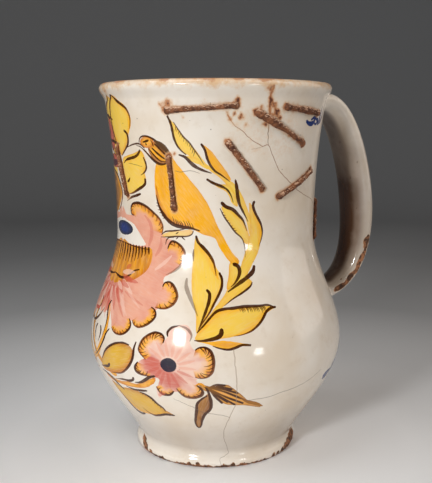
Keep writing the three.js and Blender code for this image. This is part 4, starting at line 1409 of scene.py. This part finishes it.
# The long chipped edge low on the handle
HANDLE_CHIPS += [
    (0.682 + 0.0102 * k, 163 + 0.5 * k + 4 * math.sin(0.8 * k), 5.6 + 0.7 * math.sin(1.1 * k), 1.15)
    for k in range(26)
]
# Dark pits: share of the handle's length, degrees round the strap and reach
HANDLE_PITS = [(0.265, 255, 2.6), (0.43, 240, 2.8), (0.565, 225, 2.4), (0.36, 200, 1.6)]
# How deep the clay lies where the glaze is gone, in millimetres
CHIP_DEPTH = 0.45
# Millimetres on the strap's skin for one degree round it
SKIN_PER_DEGREE = 0.21


def wear_fields(jug):
    """Point values of clay, rust, and grime with painted shade all over the jug, and the small hollows where
    clay shows.
    """
    clay = [0.0] * len(jug.points)
    rust = [0.0] * len(jug.points)
    grime = [0.0] * len(jug.points)
    moves = {}
    on_handle = {}
    rings = jug.handle_rings
    for j, ring in enumerate(rings):
        for k, number in enumerate(ring):
            on_handle[number] = (j / (len(rings) - 1), 360.0 * k / HANDLE_SIDES)
    for number, point in enumerate(jug.points):
        grain = noise.noise(point * 0.55) * 0.5 + noise.noise(point * 1.5) * 0.3
        if number in on_handle:
            share, angle = on_handle[number]
            value = 0.0
            # Painted shade: the strap darkens towards its inner face, which faces the jug's body, most along
            # the middle of its length
            inner = -math.sin(math.radians(angle))
            along = smooth(share, 0.13, 0.33) * (1 - 0.4 * smooth(share, 0.7, 0.9))
            wide = 0.34 + 0.3 * smooth(inner, -0.35, 0.4)
            wide += 0.24 * smooth(share, 0.34, 0.5) * smooth(inner, 0.1, 0.7)
            shade = along * wide + (1 - 0.8 * along) * 0.85 * smooth(inner, 0.75, 1.0)
            grime[number] = shade * smooth(min(share, 1 - share), 0.0, 0.06)
            for spot_share, spot_angle, reach in HANDLE_PITS:
                turn = (angle - spot_angle) * SKIN_PER_DEGREE
                away = math.hypot((share - spot_share) * jug.handle.total, turn)
                grime[number] = max(grime[number], 1 - smooth(away, 0.0, reach))
            for spot_share, spot_angle, reach, strength in HANDLE_CHIPS:
                turn = ((angle - spot_angle + 180) % 360 - 180) * SKIN_PER_DEGREE
                away = math.hypot((share - spot_share) * jug.handle.total, turn)
                value = max(value, strength * (1 - smooth(away, 0.0, reach)))
        else:
            where = jug.charts[number]
            outside = where is not None
            if outside:
                turn, height = math.degrees(where[0] / CHART_RADIUS), where[1]
            else:
                turn = math.degrees(math.atan2(point.y, point.x)) + 180
                height = point.z
            rust[number], value = wear_of(turn, height, outside)
            if outside:
                # Painted shade: a darker band all round, from about 5 to 42 millimetres up, in the hollow
                # above the foot
                grime[number] = 0.36 * smooth(height, 5.0, 11.0) * (1 - smooth(height, 16.0, 42.0))
            if height > jug.body.collar - 1 and math.hypot(point.x, point.y) > 59:
                rust[number] = max(rust[number], 0.85 * spot_field(RIM_SPOTS, turn, height))
        clay[number] = value
        sunk = smooth(value + 0.5 * grain, 0.6, 0.8)
        if sunk > 0.0:
            moves[number] = CHIP_DEPTH * sunk
    return {"clay": clay, "rust": rust, "grime": grime}, moves


def make_jug_object(scene):
    jug = build_jug_mesh(scene)
    fields, moves = wear_fields(jug)
    mesh = bpy.data.meshes.new("painted_jug")
    mesh.from_pydata([tuple(q * MM) for q in jug.points], [], jug.faces)
    mesh.update()
    piece = bpy.data.objects.new("painted_jug", mesh)
    scene.collection.objects.link(piece)
    flat = [Vector(v.normal) for v in mesh.vertices]
    for number, depth in moves.items():
        mesh.vertices[number].co -= flat[number] * depth * MM
    mesh.update()
    for polygon in mesh.polygons:
        polygon.use_smooth = True
    normals = []
    for number, (known, vertex) in enumerate(zip(jug.normals, mesh.vertices)):
        normals.append(tuple(vertex.normal if known is None or number in moves else known))
    mesh.normals_split_custom_set_from_vertices(normals)
    write_paint(mesh, jug)
    for name, values in fields.items():
        attribute = mesh.attributes.new(name, "FLOAT", "POINT")
        attribute.data.foreach_set("value", values)
    return piece


def write_paint(mesh, jug):
    count = len(mesh.loops)
    wash = [0.0] * (4 * count)
    ink = [0.0] * (4 * count)
    grain = [0.0] * (2 * count)
    at = 0
    for corners, paint in zip(jug.faces, jug.paint):
        for k in range(len(corners)):
            if paint is not None:
                wash[4 * at : 4 * at + 4] = paint[k][0]
                ink[4 * at : 4 * at + 4] = paint[k][1]
                grain[2 * at : 2 * at + 2] = paint[k][2]
            at += 1
    for name, values in (("wash", wash), ("ink", ink)):
        attribute = mesh.attributes.new(name, "FLOAT_COLOR", "CORNER")
        attribute.data.foreach_set("color", values)
    layer = mesh.uv_layers.new(name="brush")
    layer.data.foreach_set("uv", grain)


class Nodes:
    """Short ways to add and join the nodes of one material."""

    def __init__(self, name):
        self.material = bpy.data.materials.new(name)
        self.material.use_nodes = True
        self.tree = self.material.node_tree
        self.shader = self.tree.nodes["Principled BSDF"]
        self.object = self.tree.nodes.new("ShaderNodeTexCoord").outputs["Object"]

    def put(self, socket, value):
        if isinstance(value, bpy.types.NodeSocket):
            self.tree.links.new(value, socket)
        elif hasattr(socket.default_value, "__len__") and not isinstance(value, str):
            values = tuple(value)
            socket.default_value = values + (1.0,) * (len(socket.default_value) - len(values))
        else:
            socket.default_value = value

    def noise(self, scale, detail=3.0, roughness=0.55, vector=None):
        node = self.tree.nodes.new("ShaderNodeTexNoise")
        self.put(node.inputs["Vector"], vector or self.object)
        self.put(node.inputs["Scale"], scale)
        self.put(node.inputs["Detail"], detail)
        self.put(node.inputs["Roughness"], roughness)
        return node.outputs["Fac"]

    def math(self, kind, a, b=0.0, clamp=False):
        node = self.tree.nodes.new("ShaderNodeMath")
        node.operation = kind
        node.use_clamp = clamp
        self.put(node.inputs[0], a)
        self.put(node.inputs[1], b)
        return node.outputs[0]

    def times(self, a, b):
        return self.math("MULTIPLY", a, b)

    def plus(self, a, b):
        return self.math("ADD", a, b)

    def step(self, value, low, high, out_low=0.0, out_high=1.0):
        node = self.tree.nodes.new("ShaderNodeMapRange")
        node.interpolation_type = "SMOOTHSTEP"
        names = ("Value", "From Min", "From Max", "To Min", "To Max")
        for name, number in zip(names, (value, low, high, out_low, out_high)):
            self.put(node.inputs[name], number)
        return node.outputs["Result"]

    def blend(self, share, a, b, kind="MIX"):
        node = self.tree.nodes.new("ShaderNodeMix")
        node.data_type = "RGBA"
        node.blend_type = kind
        self.put(node.inputs["Factor"], share)
        self.put(node.inputs[6], a)
        self.put(node.inputs[7], b)
        return node.outputs[2]

    def attribute(self, name):
        node = self.tree.nodes.new("ShaderNodeAttribute")
        node.attribute_name = name
        return node

    def point_value(self, name):
        return self.attribute(name).outputs["Fac"]

    def scaled(self, vector, scale):
        node = self.tree.nodes.new("ShaderNodeMapping")
        self.put(node.inputs["Vector"], vector)
        self.put(node.inputs["Scale"], scale)
        return node.outputs["Vector"]

    def bump(self, height, strength, distance, normal=None):
        node = self.tree.nodes.new("ShaderNodeBump")
        self.put(node.inputs["Height"], height)
        self.put(node.inputs["Strength"], strength)
        self.put(node.inputs["Distance"], distance)
        if normal is not None:
            self.put(node.inputs["Normal"], normal)
        return node.outputs["Normal"]

    def finish(self, **sockets):
        for name, value in sockets.items():
            self.put(self.shader.inputs[name.replace("_", " ")], value)
        return self.material


def painted_glaze(n, glaze):
    """The glaze's own colour, then the washes, streaked along the brush, then the ink lines."""
    patch = n.noise(22.0, 4.0)
    colour_now = n.blend(n.step(patch, 0.35, 0.72), glaze.white, glaze.cream)
    mottle = n.noise(160.0, 5.0, 0.6)
    colour_now = n.blend(n.step(mottle, 0.5, 0.8, 0.0, 0.35), colour_now, srgb(*MOTTLE_TAN))
    uv = n.tree.nodes.new("ShaderNodeUVMap")
    uv.uv_map = "brush"
    streak = n.noise(1.0, 3.0, 0.6, n.scaled(uv.outputs["UV"], (0.16, 1.3, 1.0)))
    cloud = n.noise(110.0, 4.0, 0.6)
    wash = n.attribute("wash")
    thin = n.times(n.step(streak, 0.3, 0.6, 0.88, 1.0), n.step(cloud, 0.3, 0.6, 0.93, 1.0))
    colour_now = n.blend(n.times(wash.outputs["Alpha"], thin), colour_now, wash.outputs["Color"])
    ink = n.attribute("ink")
    broken = n.step(n.noise(420.0, 3.0), 0.28, 0.5, 0.95, 1.0)
    return n.blend(n.times(ink.outputs["Alpha"], broken), colour_now, ink.outputs["Color"])


def stained(n, glaze, colour_now):
    """Old dirt and painted shade, then the rust stains round the staples and the break; and where rust is
    thick.
    """
    # The grime value darkens the glaze: dirt in the handle's pits, and painted shade on the strap's inner
    # face and above the foot
    grime = n.times(n.point_value("grime"), n.step(n.noise(120.0, 4.0), 0.2, 0.6, 0.92, 1.0))
    colour_now = n.blend(grime, colour_now, glaze.grime, "MULTIPLY")
    rust_noise = n.plus(n.times(n.noise(150.0, 5.0, 0.7), 0.55), n.times(n.noise(620.0, 3.0, 0.6), 0.45))
    rust_sum = n.plus(n.point_value("rust"), rust_noise)
    rust_light = n.step(rust_sum, 0.82, 1.2)
    rust_middle = n.step(rust_sum, 1.12, 1.34)
    rust_heavy = n.step(rust_sum, 1.34, 1.46)
    colour_now = n.blend(n.times(rust_light, 0.6), colour_now, srgb(*RUST_TAN))
    colour_now = n.blend(n.times(rust_middle, 0.85), colour_now, glaze.rust)
    return n.blend(rust_heavy, colour_now, glaze.rust_dark), rust_heavy


def worn_rim(n, glaze, height, colour_now):
    """Thin glaze over the lip's edge lets the clay show; and where it is thinnest."""
    rim_height = n.plus(height, n.times(n.noise(90.0, 5.0, 0.75), 0.014))
    rim_tan = n.step(rim_height, *RIM_TAN)
    rim_brown = n.step(rim_height, *RIM_BROWN)
    blotch = n.step(n.noise(260.0, 4.0, 0.7), 0.36, 0.6, 0.35, 0.95)
    colour_now = n.blend(n.times(rim_tan, blotch), colour_now, glaze.rim)
    return n.blend(n.times(rim_brown, 0.7), colour_now, glaze.rust), rim_brown


def bare_clay(n, glaze, height, colour_now):
    """Clay in the chips and under the foot's edge, darkest where dirt has caught; and where it is."""
    chip_noise = n.plus(n.times(n.noise(240.0, 5.0, 0.7), 0.9), n.point_value("clay"))
    chips = n.step(chip_noise, 0.96, 1.04)
    edge = n.plus(height, n.times(n.noise(150.0, 5.0, 0.75), 0.007))
    bare = n.math("MAXIMUM", chips, n.step(edge, *FOOT_BARE, 1.0, 0.0))
    clay_colour = n.blend(n.step(n.noise(380.0, 5.0, 0.7), 0.4, 0.64), glaze.clay_dark, glaze.clay)
    colour_now = n.blend(n.step(chip_noise, 0.86, 0.96, 0.0, 0.5), colour_now, glaze.rim)
    return n.blend(bare, colour_now, clay_colour), bare


# Screen colours of the glaze's faint mottling and of the palest rust stain
MOTTLE_TAN = (214, 196, 172)
RUST_TAN = (226, 184, 140)
# Heights in metres, before the noise that is added, between which the rim turns tan and then
# brown, and between which the bare clay of the foot's edge ends
RIM_TAN = (0.2122, 0.2155)
RIM_BROWN = (0.2162, 0.2176)
FOOT_BARE = (0.0044, 0.0050)


def tin_glaze(scene):
    """Glossy warm white glaze with the painting, the rust, the worn rim and the bare clay."""
    glaze = scene.jug_glaze
    n = Nodes("painted_tin_glaze")
    split = n.tree.nodes.new("ShaderNodeSeparateXYZ")
    n.put(split.inputs[0], n.object)
    height = split.outputs["Z"]
    colour_now = painted_glaze(n, glaze)
    colour_now, rust_heavy = stained(n, glaze, colour_now)
    colour_now, rim_brown = worn_rim(n, glaze, height, colour_now)
    colour_now, bare = bare_clay(n, glaze, height, colour_now)
    dull = n.math("MAXIMUM", bare, n.times(rust_heavy, 0.7))
    dull = n.math("MAXIMUM", dull, n.times(rim_brown, 0.5), clamp=True)
    rough = n.step(dull, 0.0, 1.0, 0.12, 0.82)
    wheel = n.noise(1.0, 2.0, 0.5, n.scaled(n.object, (6.0, 6.0, 95.0)))
    rings = n.bump(wheel, 0.3, 0.0005)
    ripple = n.bump(n.noise(38.0, 3.0, 0.5), 0.3, 0.0005, rings)
    peel = n.bump(n.noise(330.0, 3.0, 0.5), 0.2, 0.00005, ripple)
    crust = n.bump(n.times(n.noise(900.0, 4.0, 0.7), dull), 0.9, 0.0004, peel)
    sunk = n.bump(bare, 0.7, -0.0005, crust)
    return n.finish(Base_Color=colour_now, Roughness=rough, Normal=sunk, IOR=1.5)


def rusted_iron(iron):
    """Dark brown iron with grains of orange rust, and a painted highlight, pale and smoother, where the iron
    faces up and out.
    """
    n = Nodes("rusted_iron")
    patch = n.noise(260.0, 5.0, 0.7)
    fine = n.noise(1500.0, 4.0, 0.7)
    base = n.blend(n.step(patch, 0.36, 0.62), iron.dark, iron.brown)
    base = n.blend(n.step(fine, 0.54, 0.7, 0.0, 0.7), base, iron.rust)
    # Painted highlight: pale where the iron faces up and outwards, broken up by noise
    worn = n.plus(n.point_value("raised"), n.times(n.noise(420.0, 3.0, 0.6), 0.8))
    worn = n.step(worn, 1.02, 1.24)
    base = n.blend(n.times(worn, 0.75), base, iron.worn)
    rough = n.step(worn, 0.0, 1.0, 0.7, 0.42)
    lumps = n.bump(patch, 0.8, 0.0006)
    grains = n.bump(fine, 0.8, 0.00025, lumps)
    return n.finish(Base_Color=base, Roughness=rough, Normal=grains, Metallic=0.1)


# Points along a staple's bar and round its wire, and how far rust pushes its skin, in millimetres
BAR_STEPS = 22
WIRE_SIDES = 12
RUST_PUSH = 0.6
# The noise that pushes it: size and scale of each layer
RUST_LUMPS = ((0.45, 0.8), (0.6, 1.9), (0.4, 4.2))


def staple_path(body, sizes, start, end):
    """Places along a staple's middle line with the wall's outward direction at each."""
    ends = body.place(*chart(start)), body.place(*chart(end))
    span = (ends[1] - ends[0]).length
    lift = sizes["gap"] * 0.4 + sizes["thickness"] / 2
    bend = sizes["bend"] / span
    path = [(0.0, -sizes["leg"]), (0.0, -0.6), (0.1 * bend, 0.55 * lift), (0.45 * bend, 0.95 * lift)]
    path += [(bend + (1 - 2 * bend) * k / BAR_STEPS, lift) for k in range(BAR_STEPS + 1)]
    path += [(1 - 0.45 * bend, 0.95 * lift), (1 - 0.1 * bend, 0.55 * lift)]
    path += [(1.0, -0.6), (1.0, -sizes["leg"])]
    (x0, y0), (x1, y1) = chart(start), chart(end)
    places = []
    for share, up in path:
        x, y = x0 + (x1 - x0) * share, y0 + (y1 - y0) * share
        places.append((body.place(x, y, up), body.normal(x, y)))
    return places


def forge_staple(name, body, sizes, start, end):
    """A wire extruded ring by ring along its path, then roughened by rust."""
    places = staple_path(body, sizes, start, end)
    bpy.ops.object.select_all(action="DESELECT")
    bpy.ops.mesh.primitive_circle_add(vertices=WIRE_SIDES, radius=sizes["width"] / 2 * MM, fill_type="NGON")
    piece = bpy.context.object
    piece.name = name + "_iron"
    piece.data.name = piece.name
    bpy.ops.object.mode_set(mode="EDIT")
    bpy.ops.mesh.select_all(action="SELECT")
    count = len(places) - 1
    for i in range(count + 1):
        if i > 0:
            bpy.ops.mesh.extrude_region_move()
        shape = bmesh.from_edit_mesh(piece.data)
        ring = [v for v in shape.verts if v.select]
        place, outward = places[i]
        ahead = places[min(i + 1, count)][0] - places[max(i - 1, 0)][0]
        side = ahead.cross(outward)
        if side.length < 1e-6:
            side = (places[-1][0] - places[0][0]).cross(outward)
        side.normalize()
        through = side.cross(ahead).normalized()
        share = i / count
        swell = 1 + 0.2 * noise.noise(place * 0.35) + 0.16 * noise.noise(place * 1.1)
        swell *= 1 + 0.3 * (1 - smooth(min(share, 1 - share), 0.1, 0.2))
        for crust_share, reach, more in CRUSTS.get(name, ()):
            swell += more * (1 - smooth(abs(share - crust_share), 0.0, reach))
        for k, vertex in enumerate(ring):
            angle = 2 * math.pi * k / len(ring)
            across = math.cos(angle) * sizes["width"] / 2 * swell
            rise = math.sin(angle) * sizes["thickness"] / 2 * swell
            vertex.co = (place + side * across + through * rise) * MM
        bmesh.update_edit_mesh(piece.data)
    bpy.ops.mesh.select_all(action="SELECT")
    bpy.ops.mesh.normals_make_consistent(inside=False)
    bpy.ops.object.mode_set(mode="OBJECT")
    return piece


def roughen(piece):
    """Subdivide and push the skin about, as rust does."""
    bpy.ops.object.select_all(action="DESELECT")
    piece.select_set(True)
    bpy.context.view_layer.objects.active = piece
    finer = piece.modifiers.new("finer", "SUBSURF")
    finer.levels = finer.render_levels = 2
    bpy.ops.object.modifier_apply(modifier=finer.name)
    for vertex in piece.data.vertices:
        place = vertex.co / MM
        push = sum(size * noise.noise(place * scale) for size, scale in RUST_LUMPS)
        vertex.co += vertex.normal * push * RUST_PUSH * MM
    bpy.ops.object.shade_smooth()
    # How far each point faces up and outwards, which places the painted highlight
    raised = piece.data.attributes.new("raised", "FLOAT", "POINT")
    for vertex, value in zip(piece.data.vertices, raised.data):
        outward = Vector((vertex.co.x, vertex.co.y, 0.0)).normalized()
        value.value = 0.85 * max(vertex.normal.dot((outward + Vector((0, 0, 1.1))).normalized()), 0.0)


class JUG_OT_throw(bpy.types.Operator):
    """Throw the jug, pull its handle and paint it"""

    bl_idname = "jug.throw"
    bl_label = "Throw and paint the jug"

    def execute(self, context):
        piece = make_jug_object(context.scene)
        piece.data.materials.append(tin_glaze(context.scene))
        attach(piece, "root")
        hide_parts("jug")
        return {"FINISHED"}


class JUG_OT_staple(bpy.types.Operator):
    """Forge the iron staples and set them in the wall"""

    bl_idname = "jug.staple"
    bl_label = "Set the iron staples"

    def execute(self, context):
        body = BodyForm(sizes_in_mm(context.scene.jug_body))
        sizes = sizes_in_mm(context.scene.jug_staple)
        iron = rusted_iron(context.scene.jug_iron)
        for name, (start, end) in STAPLES.items():
            piece = forge_staple(name, body, sizes, start, end)
            roughen(piece)
            piece.data.materials.clear()
            piece.data.materials.append(iron)
            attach(piece, "root")
            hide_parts(name)
        return {"FINISHED"}


# The backdrop's painted pool of light: distance from the jug in metres, and the screen grey painted on the
# card there
LIGHT_POOL_GREYS = ((0.0, 250), (0.12, 248), (0.2, 218), (0.37, 170), (0.7, 152), (1.1, 154), (1.6, 150))
FLOOR_SIDES = 128
COVE_STEPS = 12


def backdrop_material():
    """Pale card with a painted pool of light: brightest round the jug, darker towards its edge."""
    n = Nodes("pale_backdrop")
    away = n.tree.nodes.new("ShaderNodeVectorMath")
    away.operation = "LENGTH"
    n.put(away.inputs[0], n.object)
    reach = LIGHT_POOL_GREYS[-1][0]
    ramp = n.tree.nodes.new("ShaderNodeValToRGB")
    n.put(ramp.inputs["Fac"], n.math("DIVIDE", away.outputs["Value"], reach, clamp=True))
    stops = ramp.color_ramp.elements
    while len(stops) < len(LIGHT_POOL_GREYS):
        stops.new(0.5)
    for stop, (distance, grey) in zip(stops, LIGHT_POOL_GREYS):
        stop.position = distance / reach
        stop.color = srgb(grey - 2, grey, grey + 3) + (1.0,)
    return n.finish(Base_Color=ramp.outputs["Color"], Roughness=0.9, Specular_IOR_Level=0.2)


def sweep_backdrop(stage):
    """A round floor whose edge curves up into a wall."""
    bpy.ops.object.select_all(action="DESELECT")
    bpy.ops.mesh.primitive_circle_add(vertices=FLOOR_SIDES, radius=stage.floor_radius, fill_type="NGON")
    floor = bpy.context.object
    floor.name = "backdrop"
    bpy.ops.object.mode_set(mode="EDIT")
    bpy.ops.mesh.select_all(action="SELECT")
    bpy.ops.mesh.region_to_loop()
    radius, height = stage.floor_radius, 0.0
    cove = stage.cove_radius
    rings = []
    for k in range(1, COVE_STEPS + 1):
        angle = 0.5 * math.pi * k / COVE_STEPS
        rings.append((radius + cove * math.sin(angle), cove * (1 - math.cos(angle))))
    rings.append((rings[-1][0], rings[-1][1] + stage.wall_height))
    for new_radius, new_height in rings:
        bpy.ops.mesh.extrude_edges_move(TRANSFORM_OT_translate={"value": (0, 0, new_height - height)})
        share = new_radius / radius
        bpy.ops.transform.resize(value=(share, share, 1), center_override=(0, 0, 0))
        radius, height = new_radius, new_height
    bpy.ops.object.mode_set(mode="OBJECT")
    bpy.ops.object.shade_smooth_by_angle()
    floor.data.materials.append(backdrop_material())
    return floor


# Red, green and blue of the lights, and the height in metres of the point they are turned to
NEAR_WHITE = (1.0, 0.985, 0.96)
WARM_WHITE = (1.0, 0.9, 0.81)
LIT_HEIGHT = 0.11
# Each light: degrees to the right of the camera, metres from the axis, metres up, its side in
# metres, the stage setting with its power, and its tint
LIGHTS = {
    "soft_left": (-31, 1.1, 0.35, 0.165, "key_power", NEAR_WHITE),
    "soft_right": (36.5, 1.1, 0.11, 0.135, "fill_power", NEAR_WHITE),
    "broad_side": (62, 0.5, 0.74, 0.45, "side_power", WARM_WHITE),
    "broad_edge": (97, 0.95, 0.5, 0.8, "edge_power", WARM_WHITE),
    "broad_top": (-62, 0.45, 0.9, 0.6, "top_power", NEAR_WHITE),
}
WORLD_STRENGTH = 0.02
SENSOR_WIDTH = 36.0


def hang_light(name, stage, azimuth, away, height, side, setting, tint):
    """A square, soft light turned to the middle of the jug."""
    angle = math.radians(stage.camera_azimuth + azimuth)
    data = bpy.data.lights.new(name, "AREA")
    data.shape = "SQUARE"
    data.size = side
    data.energy = getattr(stage, setting)
    data.color = tint
    lamp = bpy.data.objects.new(name, data)
    lamp.location = (away * math.cos(angle), away * math.sin(angle), height)
    aim = Vector((0.0, 0.0, LIT_HEIGHT)) - lamp.location
    lamp.rotation_euler = aim.to_track_quat("-Z", "Y").to_euler()
    bpy.context.scene.collection.objects.link(lamp)


class JUG_OT_stage(bpy.types.Operator):
    """Lay the floor, set the lights and the camera"""

    bl_idname = "jug.stage"
    bl_label = "Set the stage"

    def execute(self, context):
        scene = context.scene
        stage = scene.jug_stage
        sweep_backdrop(stage)
        angle = math.radians(stage.camera_azimuth)
        right = Vector((-math.sin(angle), math.cos(angle), 0.0))
        ahead = Vector((-math.cos(angle), -math.sin(angle), 0.0))
        pitch = math.radians(stage.camera_pitch)
        camera = bpy.data.objects.new("camera", bpy.data.cameras.new("camera"))
        camera.data.lens = stage.lens
        camera.data.sensor_width = SENSOR_WIDTH
        camera.data.clip_end = 20.0
        camera.location = -ahead * stage.camera_distance + right * stage.camera_shift
        camera.location.z = stage.camera_height
        look = ahead * math.cos(pitch) - Vector((0, 0, math.sin(pitch)))
        camera.rotation_euler = look.to_track_quat("-Z", "Y").to_euler()
        scene.collection.objects.link(camera)
        scene.camera = camera
        for name, values in LIGHTS.items():
            hang_light(name, stage, *values)
        world = bpy.data.worlds.new("studio")
        world.use_nodes = True
        background = world.node_tree.nodes["Background"]
        background.inputs["Color"].default_value = (1.0, 1.0, 1.0, 1.0)
        background.inputs["Strength"].default_value = WORLD_STRENGTH
        scene.world = world
        scene.view_settings.view_transform = "Standard"
        return {"FINISHED"}


class JUG_PT_panel(bpy.types.Panel):
    bl_idname = "JUG_PT_panel"
    bl_label = "Mended Painted Jug"
    bl_space_type = "VIEW_3D"
    bl_region_type = "UI"
    bl_category = "Jug"

    def draw(self, context):
        for operator in OPERATORS:
            self.layout.operator(operator.bl_idname)
        for name, (title, _) in GROUPS.items():
            box = self.layout.box()
            box.label(text=title)
            group = getattr(context.scene, name)
            for key in group.__annotations__:
                box.prop(group, key)


OPERATORS = (JUG_OT_throw, JUG_OT_staple, JUG_OT_stage)
GROUPS = {
    "jug_body": ("Body", JugBodySizes),
    "jug_handle": ("Handle", HandleSizes),
    "jug_staple": ("Staples", StapleSizes),
    "jug_iron": ("Iron", IronColours),
    "jug_glaze": ("Glaze", GlazeColours),
    "jug_paint": ("Paint", PaintColours),
    "jug_stage": ("Stage", StageSettings),
}


def register():
    for _, group in GROUPS.values():
        bpy.utils.register_class(group)
    for item in (*OPERATORS, JUG_PT_panel):
        bpy.utils.register_class(item)
    for name, (_, group) in GROUPS.items():
        setattr(bpy.types.Scene, name, PointerProperty(type=group))


def unregister():
    for name in GROUPS:
        delattr(bpy.types.Scene, name)
    for item in (JUG_PT_panel, *reversed(OPERATORS)):
        bpy.utils.unregister_class(item)
    for _, group in reversed(list(GROUPS.values())):
        bpy.utils.unregister_class(group)


def main():
    register()
    bpy.ops.jug.stage()
    bpy.ops.jug.throw()
    bpy.ops.jug.staple()


if __name__ == "__main__":
    main()
